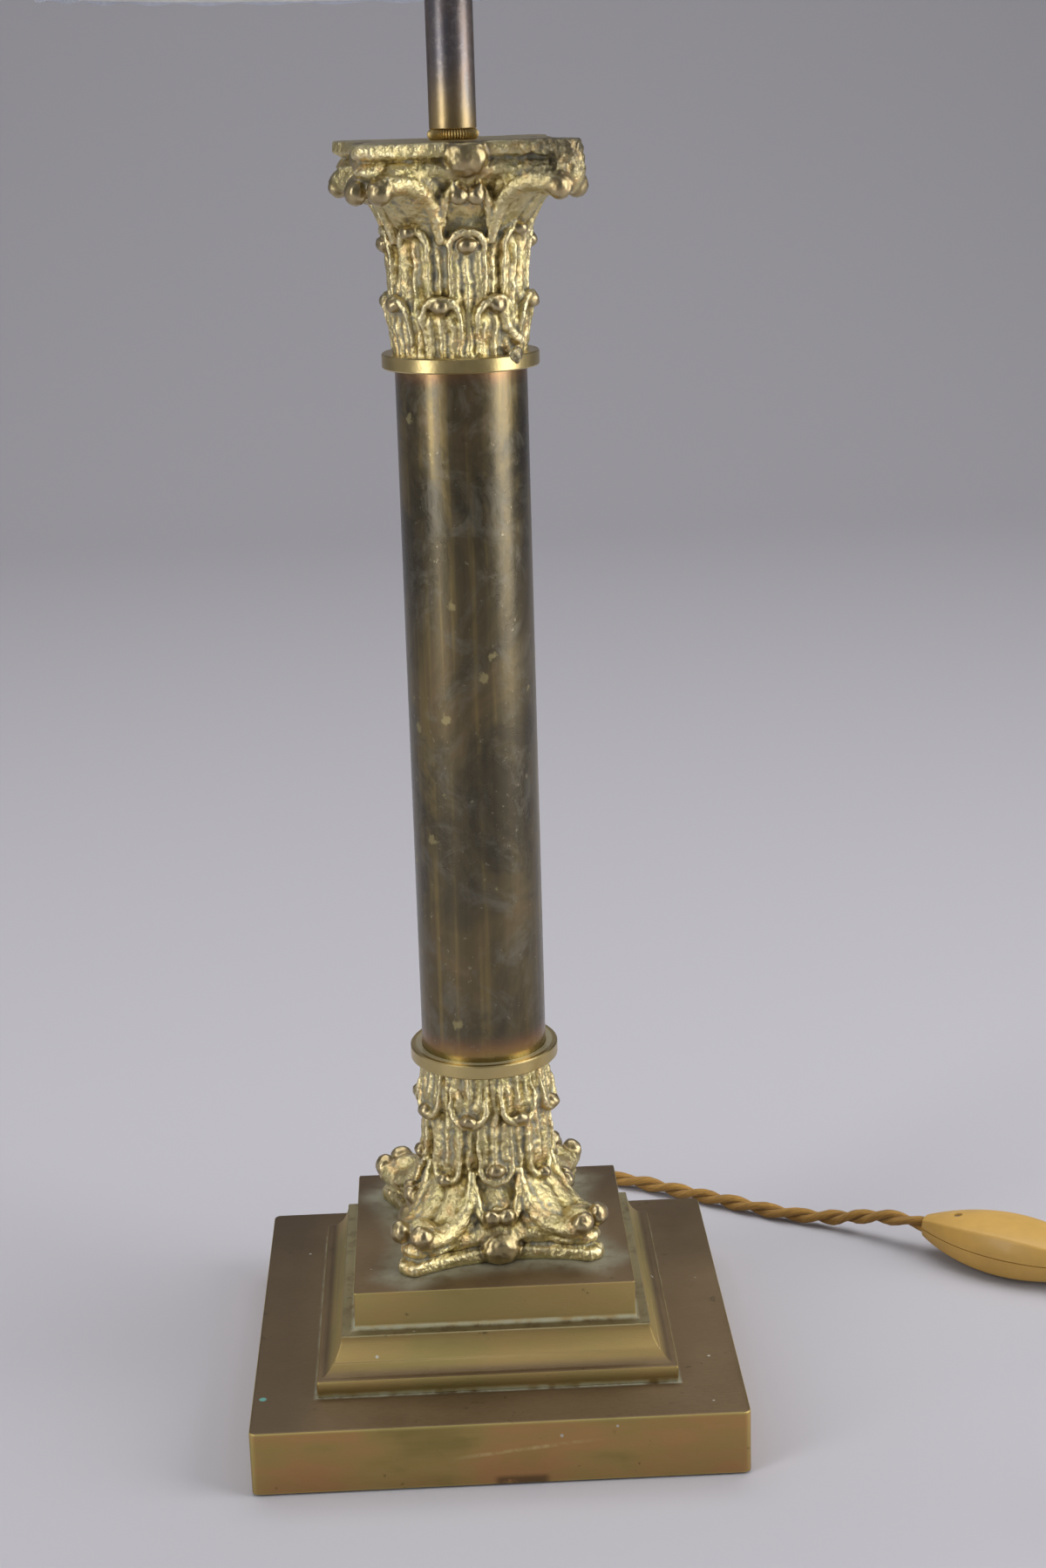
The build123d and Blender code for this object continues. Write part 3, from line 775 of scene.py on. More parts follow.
@dataclass(frozen=True)
class BaseBrass:
    """Brushed, tarnished brass of the slab and the stepped plinth.

    The heights and half widths are places on the base; the tones are linear colours.
    """

    name: str = "base_brass"
    slab_edge: float = 0.0214
    lip_half: float = 0.0567
    lip_foot: float = 0.0216
    plinth_from: float = 0.0212
    ledge: float = 0.0385
    block_half: float = 0.0444
    block_foot: float = 0.0384
    seat_from: float = 0.0495
    twist: float = math.radians(6)
    hollow_side: float = 0.027
    hollow_depth: float = 0.0062
    reach: float = 0.0276
    cut_reach: float = 0.031
    cut_corner: float = 0.0446
    verdigris_at: Pair = (-0.0737, -0.056)
    scratch_at: Pair = (0.014, 0.0130)
    scratch_slope: float = 0.10
    stain_at: float = 0.0062
    side_tones: Tones = ((0.30, (0.235, 0.185, 0.062)), (0.45, (0.36, 0.262, 0.095)),
                         (0.56, (0.43, 0.255, 0.105)), (0.70, (0.33, 0.255, 0.082)))
    top_tones: Tones = ((0.32, (0.115, 0.080, 0.043)), (0.5, (0.165, 0.117, 0.066)),
                        (0.7, (0.215, 0.155, 0.090)))
    plinth_tone: Triple = (0.34, 0.285, 0.115)
    reddened: Triple = (0.38, 0.205, 0.090)
    # Painted dark reflection, laid on the left end of the top.
    painted_dark_reflection: Triple = (0.07, 0.055, 0.042)
    olive: Triple = (0.33, 0.30, 0.17)
    # Partly rubbed brass, partly a painted highlight along the slab's edges.
    rubbed: Triple = (0.50, 0.43, 0.16)
    scratched: Triple = (0.62, 0.53, 0.26)
    stained: Triple = (0.10, 0.065, 0.038)
    speckled: Triple = (0.075, 0.060, 0.035)
    dried_polish: Triple = (0.36, 0.37, 0.28)
    verdigris: Triple = (0.16, 0.42, 0.37)
    dusty: Triple = (0.55, 0.54, 0.48)

    def make(self) -> Material:
        """Mixes the finish.

        Returns:
            The finished material.
        """
        r = Recipe(self.name)
        cloud = r.grain(22, 4, roughness=0.6)
        fine = r.grain(160, 4, roughness=0.65)
        brushed = r.grain(420, 2, (1, 22, 6), 0.7)
        top = r.upward().step(0.55, 0.9)
        square = abs(r.x).max(abs(r.y))
        side = self._wear(r, self._sides(r, cloud), fine)
        flat = r.ramp(cloud * 0.5 + brushed * 0.5, self.top_tones)
        # The left end of the top is painted darker, broken up by noise: a painted dark reflection, not
        # tarnish.
        flat = r.blend(r.x.step(-0.052, -0.068) * cloud.step(0.25, 0.5) * 0.4, flat, self.painted_dark_reflection)
        colour = r.blend(top, side, flat)
        on_ledge = r.z.near(self.ledge, 0.0012, 0.0005) * square.step(0.0500, 0.0492)
        colour = r.blend(on_ledge * fine.step(0.25, 0.55) * 0.6, colour, self.olive)
        colour = r.blend(fine.step(0.66, 0.72) * 0.55, colour, self.speckled)
        polish = self._residue(r, square, fine, top)
        colour = r.blend(polish, colour, self.dried_polish)
        from_spot = (r.x - self.verdigris_at[0]).length_with(r.y - self.verdigris_at[1])
        spot = from_spot.step(0.0014, 0.0008) * r.z.step(0.0208, 0.0212)
        colour = r.blend(spot * 0.8, colour, self.verdigris)
        colour = r.blend(r.cells(75.0).step(0.050, 0.036) * 0.8, colour, self.dusty)
        roughness = 0.40 + cloud * 0.18 + brushed * 0.10 + polish * 0.3
        normal = r.bump(brushed, 0.00004, r.bump(fine, 0.00006))
        return r.surface(colour, roughness, 1 - polish * 0.8, normal, Anisotropic=0.3)

    def _sides(self, r: Recipe, cloud: Value) -> Value:
        """Colours the sides: paler on the plinth, reddened low on the slab.

        Args:
            r: The recipe.
            cloud: Its broad noise.

        Returns:
            The colour.
        """
        along = r.grain(30, 3, (1, 1, 5))
        side = r.ramp(cloud * 0.6 + along * 0.4, self.side_tones)
        side = r.blend((r.z - self.plinth_from).step(0, 0.0012) * 0.55, side, self.plinth_tone)
        low = r.z.step(0.0205, 0.0165) * r.z.step(0.017, 0.002)
        return r.blend(low * cloud.step(0.3, 0.6) * 0.6, side, self.reddened)

    def _wear(self, r: Recipe, side: Value, fine: Value) -> Value:
        """Adds the slab's lighter edges, partly rubbed brass and partly a painted edge highlight, a slanting
        scratch and a dark stain.

        Args:
            r: The recipe.
            side: The sides' colour.
            fine: Its fine noise.

        Returns:
            The worn colour.
        """
        # The slab's rims and corners are painted lighter: partly rubbed brass, partly a painted edge
        # highlight.
        rims = r.z.near(self.slab_edge, 0.0011, 0.0002).max(r.z.step(0.0016, 0.0004))
        edges = rims.max(abs(r.x).min(abs(r.y)).step(0.0752, 0.0768)) * r.z.step(0.0226, 0.0222)
        side = r.blend(edges * 0.55, side, self.rubbed)
        middle, height = self.scratch_at
        slant = abs(r.z - height - (r.x - middle) * self.scratch_slope).step(0.0009, 0.0002)
        slant = slant * r.x.near(0.008, 0.026, 0.008)
        side = r.blend(slant * fine.step(0.35, 0.6) * 0.5, side, self.scratched)
        stain = r.x.near(self.stain_at, 0.0095, 0.0065) * r.z.step(0.0042, 0.0022) * fine.step(0.25, 0.45)
        return r.blend(stain * 0.75, side, self.stained)

    def _residue(self, r: Recipe, square: Value, fine: Value, top: Value) -> Value:
        """Finds where dried polish stays: along the plinth's foot and round the casting.

        Args:
            r: The recipe.
            square: The larger distance from the middle along X or Y.
            fine: Its fine noise.
            top: Where the surface faces up.

        Returns:
            How much polish there is.
        """
        seam = square.near(self.lip_half, 0.0014, 0.0003) * (r.z - self.lip_foot).step(0.0018, 0.0004)
        foot = square.near(self.block_half, 0.0016, 0.0003) * r.z.near(self.block_foot, 0.0014, 0.0005)
        along = abs(r.x * math.cos(self.twist) + r.y * math.sin(self.twist))
        across = abs(r.y * math.cos(self.twist) - r.x * math.sin(self.twist))
        n = along.min(across).min(self.cut_reach)
        from_sides = along.max(across) - self.hollow_side - n * n * (self.hollow_depth / self.reach ** 2)
        from_corners = (along + across) * math.sqrt(0.5) - self.cut_corner
        clear = from_sides.max(from_corners)
        beside = clear.step(0.0115, -0.0010) * top * (r.z - self.seat_from).step(0, 0.001)
        return (seam.max(foot) * 0.7 * fine.step(0.30, 0.66)).max(beside * 0.62 * fine.step(0.15, 0.62))


@dataclass(frozen=True)
class CastBrass:
    """Gilt cast brass: bright on its body and ridges, dark in its hollows, dull on its proud tips. The
    ridges' brightness is partly rubbed gilt and partly a painted highlight; the hollows' darkness is partly
    tarnish and partly painted shade.
    """

    name: str = "cast_brass"
    residue: float = 0.45
    seat: float = 0.0212
    seat_height: float = 0.1166
    gilt: Tones = ((0.35, (0.52, 0.435, 0.215)), (0.55, (0.65, 0.550, 0.280)),
                   (0.70, (0.60, 0.425, 0.170)))
    copper: Triple = (0.70, 0.45, 0.20)
    olive: Triple = (0.42, 0.375, 0.150)
    # Ridge colour: partly rubbed gilt, partly a painted highlight.
    rubbed: Triple = (0.84, 0.74, 0.45)
    # Hollow colours: partly tarnish in the hollows, partly painted shade.
    shallow_tarnish_and_shade: Triple = (0.26, 0.185, 0.052)
    deep_tarnish_and_shade: Triple = (0.085, 0.060, 0.022)
    powdered: Triple = (0.36, 0.385, 0.34)
    knob_tones: tuple[Triple, Triple] = ((0.19, 0.140, 0.078), (0.34, 0.255, 0.140))
    slag_tone: Triple = (0.125, 0.108, 0.075)
    turned_tones: tuple[Triple, Triple] = ((0.40, 0.31, 0.135), (0.58, 0.45, 0.20))

    def make(self) -> Material:
        """Mixes the finish.

        Returns:
            The finished material.
        """
        r = Recipe(self.name)
        hollow, knob, burnt, turned_part = (
            r.attribute(name) for name in ("hollow", "knob", "burnt", "turned"))
        cloud = r.grain(60, 4, roughness=0.6)
        sand = r.grain(1300, 3, roughness=0.7)
        beads = r.grain(620, 2)
        ridge = hollow.step(0.38, 0.12)
        shallow, deep = hollow.step(0.50, 0.74), hollow.step(0.76, 1.0)
        # Ridges are painted lighter, more so where the bead noise is high: partly rubbed gilt, partly a
        # painted highlight with painted glints.
        colour = r.blend(ridge * (0.45 + beads * 0.4), self._gilding(r, cloud), self.rubbed)
        # Shallow and deep hollows are painted darker: partly tarnish, partly painted shade where the relief
        # is shaded.
        colour = r.blend(shallow * 0.85, colour, self.shallow_tarnish_and_shade)
        colour = r.blend(deep * 0.85, colour, self.deep_tarnish_and_shade)
        ledge = r.x.length_with(r.y).near(self.seat, 0.0014, 0.0006)
        ledge = ledge * r.z.near(self.seat_height, 0.0012, 0.0004)
        powder = (hollow.step(0.50, 0.64) * cloud.step(0.44, 0.56) * self.residue).max(ledge * 0.6)
        colour = r.blend(powder, colour, self.powdered)
        colour = r.blend(knob * 0.72, colour, r.blend(cloud, *self.knob_tones))
        slag = burnt * (r.grain(380, 3, roughness=0.6).step(0.62, 0.42) * 0.6 + 0.4)
        colour = r.blend(slag * 0.85, colour, self.slag_tone)
        colour = r.blend(turned_part * (1 - powder) * 0.85, colour, r.blend(cloud, *self.turned_tones))
        roughness = 0.31 + cloud * 0.14 + shallow * 0.10 + deep * 0.15 + slag * 0.1
        roughness = roughness - turned_part * 0.08 - ridge * 0.05
        cast = (1.1 - knob - turned_part).max(0)
        normal = r.bump(beads * cast, 0.0004, r.bump(cloud * (1 - turned_part), 0.0003))
        return r.surface(colour, roughness, 1 - powder * 0.8, r.bump(sand * cast, 0.00022, normal))

    def _gilding(self, r: Recipe, cloud: Value) -> Value:
        """Colours the body: gilt, with copper and olive patches.

        Args:
            r: The recipe.
            cloud: Its broad noise.

        Returns:
            The colour.
        """
        hue = r.grain(150, 3, distortion=0.6)
        bright = r.ramp(cloud, self.gilt)
        bright = r.blend(hue.step(0.54, 0.66) * 0.5, bright, self.copper)
        return r.blend(hue.step(0.46, 0.36) * 0.5, bright, self.olive)


@dataclass(frozen=True)
class ColumnBrass:
    """Drawn tube, tarnished olive brown, with heat tints near both ends."""

    name: str = "column_brass"
    foot: float = 0.1168
    top: float = 0.3375
    tint_depth: float = 0.012
    tones: Tones = ((0.34, (0.055, 0.048, 0.036)), (0.44, (0.090, 0.075, 0.047)),
                    (0.54, (0.142, 0.112, 0.060)), (0.66, (0.205, 0.145, 0.076)))
    heat_tints: Tones = ((0.0, (0.40, 0.31, 0.09)), (0.22, (0.42, 0.24, 0.075)),
                         (0.50, (0.35, 0.165, 0.085)), (0.85, (0.20, 0.145, 0.080)))
    mottled: Triple = (0.20, 0.185, 0.145)
    rubbed: Triple = (0.32, 0.24, 0.085)
    spotted: Triple = (0.42, 0.36, 0.17)
    speckled: Triple = (0.34, 0.30, 0.20)

    def make(self) -> Material:
        """Mixes the finish.

        Returns:
            The finished material.
        """
        r = Recipe(self.name)
        cloud = r.grain(24, 5, (1, 1, 0.6), 0.68, 0.8)
        mottle = r.grain(75, 5, roughness=0.75, distortion=0.8).step(0.46, 0.72)
        streak = r.grain(240, 3, (1, 1, 0.03))
        fine = r.grain(420, 4, roughness=0.7)
        colour = r.ramp(cloud * 0.8 + streak * 0.2, self.tones)
        colour = r.blend(mottle * 0.55, colour, self.mottled)
        colour = r.blend(streak.step(0.54, 0.66) * cloud.step(0.42, 0.56) * 0.38, colour, self.rubbed)
        spots = (r.cells(62.0) + (fine - 0.5) * 0.34).step(0.115, 0.06)
        colour = r.blend(spots * 0.5, colour, self.spotted)
        from_end = (r.z - self.foot).min(self.top - r.z) + (cloud - 0.5) * self.tint_depth
        tint = r.ramp(from_end / self.tint_depth, self.heat_tints)
        colour = r.blend(from_end.step(0.010, 0.002) * 0.6, colour, tint)
        colour = r.blend(fine.step(0.64, 0.70) * 0.6, colour, self.speckled)
        roughness = 0.20 + cloud * 0.16 + mottle * 0.13 + spots * 0.15
        normal = r.bump(streak, 0.00005, r.bump(fine, 0.00005))
        return r.surface(colour, roughness, 1.0, normal,
                         Anisotropic=0.35, Coat_Weight=0.20, Coat_Roughness=0.22)


@dataclass(frozen=True)
class StemMetal:
    """Bronzed tube: dark and glossy with violet and copper tints, gold near its foot."""

    name: str = "stem_metal"
    foot: float = 0.4031
    tones: Tones = ((0.34, (0.105, 0.105, 0.120)), (0.48, (0.175, 0.160, 0.165)),
                    (0.58, (0.250, 0.195, 0.165)), (0.70, (0.160, 0.175, 0.180)))
    pitted: Triple = (0.30, 0.27, 0.25)
    gold: Triple = (0.46, 0.33, 0.14)

    def make(self) -> Material:
        """Mixes the finish.

        Returns:
            The finished material.
        """
        r = Recipe(self.name)
        cloud = r.grain(70, 4, (1, 1, 0.3), 0.6)
        streak = r.grain(160, 2, (1, 1, 0.05))
        pits = r.grain(520, 4, roughness=0.75)
        tint = r.ramp(cloud * 0.6 + streak * 0.4, self.tones)
        tint = r.blend(pits.step(0.50, 0.66) * 0.6, tint, self.pitted)
        near_foot = (r.z - self.foot + (cloud - 0.5) * 0.03).step(0.020, 0.001)
        colour = r.blend(near_foot * 0.75, tint, self.gold)
        roughness = 0.24 + cloud * 0.12 + pits * 0.16
        return r.surface(colour, roughness, 1.0, r.bump(pits, 0.00007, r.bump(streak, 0.00003)))


@dataclass(frozen=True)
class Metal:
    """A plain turned or plated metal with fine tool marks."""

    name: str
    colour: Triple
    shine: float = 0.25
    marks: Triple = (1, 1, 14)
    dulled: float = 0.62

    def make(self) -> Material:
        """Mixes the finish.

        Returns:
            The finished material.
        """
        r = Recipe(self.name)
        cloud, marks = r.grain(120, 3), r.grain(300, 2, self.marks)
        colour = r.blend(cloud.step(0.35, 0.7), self.colour, times(self.dulled, self.colour))
        return r.surface(colour, self.shine + cloud * 0.18, 1.0, r.bump(marks, 0.00005))


@dataclass(frozen=True)
class Moulding:
    """Moulded plastic or glazed ware, faintly uneven and rubbed."""

    name: str
    colour: Triple
    shine: float = 0.3
    shade_to: float = 0.75
    coat: float = 0.0

    def make(self) -> Material:
        """Mixes the finish.

        Returns:
            The finished material.
        """
        r = Recipe(self.name)
        cloud, fine = r.grain(45, 4, roughness=0.6), r.grain(900, 3)
        colour = r.blend(cloud.step(0.3, 0.7), self.colour, times(self.shade_to, self.colour))
        roughness = self.shine + cloud * 0.16 + fine * 0.05
        return r.surface(colour, roughness, 0.0, r.bump(fine, 0.00003), Coat_Weight=self.coat)


@dataclass(frozen=True)
class GatheredCloth:
    """Fine pale cloth, its weave read from the piece's own map."""

    name: str = "shade_cloth"
    # Blue grey: painted light, the look of a white cloth in bluish light taken as its colour.
    colour: Triple = (0.57, 0.60, 0.69)
    shade_to: float = 0.78
    threads: float = 1400.0

    def make(self) -> Material:
        """Mixes the finish.

        Returns:
            The finished material.
        """
        r = Recipe(self.name)
        weave_map = r.node("ShaderNodeUVMap", {"uv_map": "weave"})
        warp, weft = ((r.part(weave_map, axis) * self.threads).sine() for axis in (0, 1))
        weave = (warp * weft) * 0.5 + 0.5
        slub = r.noise(weave_map, 220.0, 4.0)
        colour = r.blend(weave * 0.35 + slub * 0.4, self.colour, times(self.shade_to, self.colour))
        return r.surface(colour, 0.85, 0.0, r.bump(weave * 0.6 + slub, 0.00025), Sheen_Weight=0.25)


@dataclass(frozen=True)
class SilkYarn:
    """Gold silk laid over the cores: fibres run along each strand."""

    name: str = "cord_silk"
    bright: Triple = (0.66, 0.36, 0.045)
    deep: Triple = (0.27, 0.115, 0.010)
    sheen: Triple = (0.74, 0.46, 0.13)
    fibres: Triple = (60, 9, 1)

    def make(self) -> Material:
        """Mixes the finish.

        Returns:
            The finished material.
        """
        r = Recipe(self.name)
        lay_map = r.node("ShaderNodeUVMap", {"uv_map": "lay"})
        fibre = r.noise(r.stretch(lay_map, self.fibres), 1.0, 5.0, 0.7)
        plump = r.noise(lay_map, 90.0, 2.0)
        colour = r.blend(fibre.step(0.36, 0.66), self.deep, self.bright)
        # The side of each strand that faces the other is painted darker: painted shade in the groove between
        # the strands.
        colour = r.blend(r.attribute("hollow") * 0.75, colour, times(0.5, self.deep))
        colour = r.blend(plump.step(0.6, 0.75) * 0.3, colour, self.sheen)
        return r.surface(colour, 0.60, 0.0, r.bump(fibre, 0.0007), Sheen_Weight=0.12)


@dataclass(frozen=True)
class Soft:
    """Felt or board: a matt surface of short fibres."""

    name: str
    colour: Triple
    darkest: float = 0.6
    palest: float = 1.3

    def make(self) -> Material:
        """Mixes the finish.

        Returns:
            The finished material.
        """
        r = Recipe(self.name)
        fuzz = r.grain(1500, 4, roughness=0.7)
        colour = r.blend(fuzz, times(self.darkest, self.colour), times(self.palest, self.colour))
        return r.surface(colour, 0.95, 0.0, r.bump(fuzz, 0.0003))


FINISHES = {finish.name: finish for finish in (
    BaseBrass(),
    CastBrass(),
    ColumnBrass(),
    StemMetal(),
    Metal("turned_brass", (0.76, 0.57, 0.24), 0.38),
    Metal("zinc_steel", (0.55, 0.56, 0.57), 0.32),
    Metal("nickel", (0.70, 0.68, 0.63), 0.18),
    Soft("board", (0.32, 0.23, 0.14)),
    Soft("felt", (0.035, 0.10, 0.055)),
    Moulding("dark_plastic", (0.045, 0.035, 0.028), 0.40),
    Moulding("holder_plastic", (0.030, 0.022, 0.018), 0.18, coat=0.4),
    Moulding("ceramic", (0.78, 0.76, 0.70), 0.12, 0.9, coat=0.6),
    Moulding("bulb_glass", (0.86, 0.86, 0.83), 0.10, 0.95, coat=0.8),
    GatheredCloth(),
    Moulding("shade_wire", (0.74, 0.73, 0.70), 0.28, 0.85),
    SilkYarn(),
    Moulding("wire_red", (0.40, 0.06, 0.03), 0.45),
    Moulding("wire_black", (0.03, 0.03, 0.035), 0.45),
    Moulding("gold_plastic", (0.56, 0.33, 0.070), 0.36, 0.82, coat=0.08),
    Moulding("white_plastic", (0.80, 0.77, 0.70), 0.20, 0.92, coat=0.3),
)}


class PaintShop:
    """Makes each finish once and puts it on pieces."""

    def __init__(self) -> None:
        """Starts with nothing mixed."""
        self.mixed: dict[str, Material] = {}

    def coat(self, obj: Object, slot: str) -> None:
        """Gives an object one finish all over.

        Args:
            obj: The object.
            slot: The finish's name, which is the record's slot.
        """
        if slot not in self.mixed:
            self.mixed[slot] = FINISHES[slot].make()
        obj.data.materials.clear()
        obj.data.materials.append(self.mixed[slot])

    def piece(self, obj: Object, slot: str, body: Body, *nodes: str) -> Object:
        """Finishes a new piece, hangs it on its body and stands it in for its nodes.

        Args:
            obj: The piece.
            slot: The record's slot that it takes its finish from.
            body: The body that it moves with.
            *nodes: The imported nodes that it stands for.

        Returns:
            The piece.
        """
        self.coat(obj, slot)
        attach(obj, body.value)
        if nodes:
            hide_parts(*nodes)
        LOG.info("piece %s: %d faces, finish %s", obj.name, len(obj.data.polygons), slot)
        return obj


# ---------------------------------------------------------------- base

@dataclass
class Base:
    """The cast tray and the stepped plinth on it.

    The plinth's steps are a half width and the height of their top.
    """

    shop: PaintShop
    half: float = 0.077
    corner: float = 0.0022
    edge: float = 0.0007
    wall: float = 0.004
    roof: float = 0.0181
    rim: float = 0.0008
    top: float = 0.0216
    rebate: Pair = (0.002, 0.0019)
    cord_hole: float = 0.0046
    cord_height: float = 0.009
    lip: Pair = (0.0567, 0.0271)
    ledge: Pair = (0.0488, 0.0381)
    block: Pair = (0.0444, 0.0507)
    cove: Pair = (0.0016, 0.0017)
    mitre: float = 0.0006
    hollow_round: float = 0.66
    hollow_steps: int = 12
    cove_steps: int = 4

    def build(self) -> None:
        """Builds both castings."""
        self.shop.piece(self.slab(), "base_brass", Body.LAMP, "base_slab")
        self.shop.piece(self.plinth(), "base_brass", Body.LAMP, "stepped_plinth")

    def slab(self) -> Object:
        """Casts the hollow square tray.

        Returns:
            The tray, open underneath.
        """
        size = (2 * self.half, 2 * self.half, self.top - self.rim)
        tray = block("slab", size, (0, 0, (self.top + self.rim) / 2))
        self._bevel(tray, lambda a, b: abs(a.x - b.x) + abs(a.y - b.y) < MM, self.corner, 5)
        self._bevel(tray, lambda a, b: min(a.z, b.z) > self.top - MM, self.edge, 3)
        self._hollow(tray)
        past = 0.01
        hole = turned("hole", [(0, -past), (self.cord_hole, -past), (self.cord_hole, past), (0, past)], 32)
        through = Matrix.Rotation(math.pi / 2, 4, "X")
        hole.data.transform(Matrix.Translation((0, self.half, self.cord_height)) @ through)
        cut(tray, hole)
        return shade(tray, 30)

    def _hollow(self, tray: Object) -> None:
        """Sinks the underside: a rebate for the board, then the room inside.

        Args:
            tray: The solid tray.
        """
        wide, deep = self.rebate
        select_only(tray, [face for face in tray.data.polygons if face.normal.z < -0.9], False)
        with editing(tray, False):
            for inset, rise in ((wide, deep), (self.wall - wide, self.roof - self.rim - deep)):
                bpy.ops.mesh.inset(thickness=inset)
                bpy.ops.mesh.extrude_region_move(TRANSFORM_OT_translate={"value": (0, 0, rise)})

    @staticmethod
    def _bevel(obj: Object, test: Callable[[Vector, Vector], bool], width: float, segments: int) -> None:
        """Rounds over the edges whose two ends pass a test.

        Args:
            obj: The mesh object.
            test: The test on the two ends.
            width: How wide the rounding is.
            segments: Its steps.
        """
        vertices = obj.data.vertices
        wanted = [edge for edge in obj.data.edges if test(*(vertices[i].co for i in edge.vertices))]
        select_only(obj, wanted, True)
        with editing(obj, False):
            bpy.ops.mesh.bevel(offset=width, segments=segments, profile=0.5)

    def outline(self) -> list[Pair]:
        """Draws the plinth's side.

        Returns:
            Half width and height of each corner, from its foot to its top.
        """
        (lip, lip_top), (ledge, ledge_top), (block_half, top) = self.lip, self.ledge, self.block
        finest, fine, soft, crown, nose, band = 0.0002, 0.0003, 0.0004, 0.0005, 0.0009, 0.0012
        path = [(lip - fine, self.top), (lip, self.top + soft), (lip, lip_top - nose),
                (lip - fine, lip_top - finest), (lip - nose, lip_top)]
        centre_x, centre_z = lip - nose, ledge_top - band
        wide, tall = centre_x - ledge, centre_z - lip_top
        for i in range(1, self.hollow_steps + 1):
            turn = math.pi / 2 * i / self.hollow_steps
            inward = self.hollow_round * math.sin(turn) + (1 - self.hollow_round) * (1 - math.cos(turn))
            path.append((centre_x - wide * inward, centre_z - tall * math.cos(turn)))
        out, up = self.cove
        path += [(ledge, ledge_top - fine), (ledge - fine, ledge_top), (block_half + out, ledge_top)]
        for i in range(1, self.cove_steps + 1):
            turn = math.pi / 2 * i / self.cove_steps
            path.append((block_half + out - out * math.sin(turn), ledge_top + up * (1 - math.cos(turn))))
        rim = 0.3 * crown
        return [*path, (block_half, top - crown), (block_half - rim, top - rim), (block_half - crown, top)]

    def plinth(self) -> Object:
        """Casts the stepped plinth, grown ring by ring from a square and mitred at its corners.

        Returns:
            The plinth.
        """
        path = self.outline()
        bpy.ops.mesh.primitive_plane_add(size=2 * path[0][0], location=(0, 0, path[0][1]))
        plinth = bpy.context.object
        plinth.name = "plinth"
        bpy.ops.object.transform_apply(location=True, rotation=True, scale=True)
        with editing(plinth):
            for (wide, low), (next_wide, high) in zip(path, path[1:]):
                bpy.ops.mesh.extrude_region_move(TRANSFORM_OT_translate={"value": (0, 0, high - low)})
                share = next_wide / wide
                bpy.ops.transform.resize(value=(share, share, 1), center_override=(0, 0, 0))
        mend(plinth, 1e-7)
        finish_modifier(plinth, "BEVEL", width=self.mitre, segments=2, limit_method="ANGLE",
                        angle_limit=math.radians(75))
        return shade(plinth, 28)


# ---------------------------------------------------------------- leafy castings

@dataclass(frozen=True)
class LeafRow:
    """One row of leaves round the bell, in millimetres and degrees.

    Its widths are measured at the girth, and its lips roll at their own reach from Z.
    """

    first: float
    count: int
    foot: float
    top: float
    half_width: float
    lean: float
    rib_pitch: float
    girth: float = 21.0
    lip_reach: float = 20.7
    lip_inset: float = 1.1

    def relief(self, angle: Array, height: Array) -> Array:
        """Works out how far the leaves stand off the bell.

        Args:
            angle: Angles about Z, in degrees.
            height: Heights above the ring's foot.

        Returns:
            The relief at each place, below 0 where there is no leaf.
        """
        spacing = 360.0 / self.count
        turn = (angle - self.first + spacing / 2) % spacing - spacing / 2
        across = np.abs(np.radians(turn) * self.girth)
        shoulder = self.top - self.half_width
        rise = np.clip((height - self.foot) / (shoulder - self.foot), 0, 1)
        width = self.half_width * (0.86 + 0.14 * rise)
        above = np.clip(height - shoulder, 0, None)
        edge = np.where(above > 0, self.half_width - np.hypot(across, above), width - across)
        edge = np.minimum(edge, height - self.foot + 1.5)
        rim = bell_curve((edge - 0.9) / 0.80) * (0.35 + 0.6 * rise)
        inside = ease((edge - 1.2) / 0.9)
        ribs = (0.5 + 0.5 * np.cos(2 * np.pi * across / self.rib_pitch)) ** 1.2
        hood = inside * ease((height - shoulder + 2.5) / 4.0)
        blade = ease(edge / 0.8) * (0.9 + self.lean * rise ** 1.8)
        return blade + rim + inside * (1 - 0.75 * hood) * (ribs * 1.05 - 0.6) - hood * 0.55

    def arch(self) -> list[Triple]:
        """Draws the line of the rolled lip round a leaf's head.

        Returns:
            Its points, for a leaf facing -Y.
        """
        reach = self.half_width - self.lip_inset
        shoulder = self.top - self.half_width
        line = []
        for degrees in (-22, 8, 38, 64, 90, 116, 142, 172, 202):
            a = math.radians(degrees)
            away = self.lip_reach + self.lean * (0.7 + 0.3 * math.sin(a))
            turn = reach * math.cos(a) / away
            line.append((away * math.sin(turn), -away * math.cos(turn), shoulder + reach * math.sin(a)))
        return line


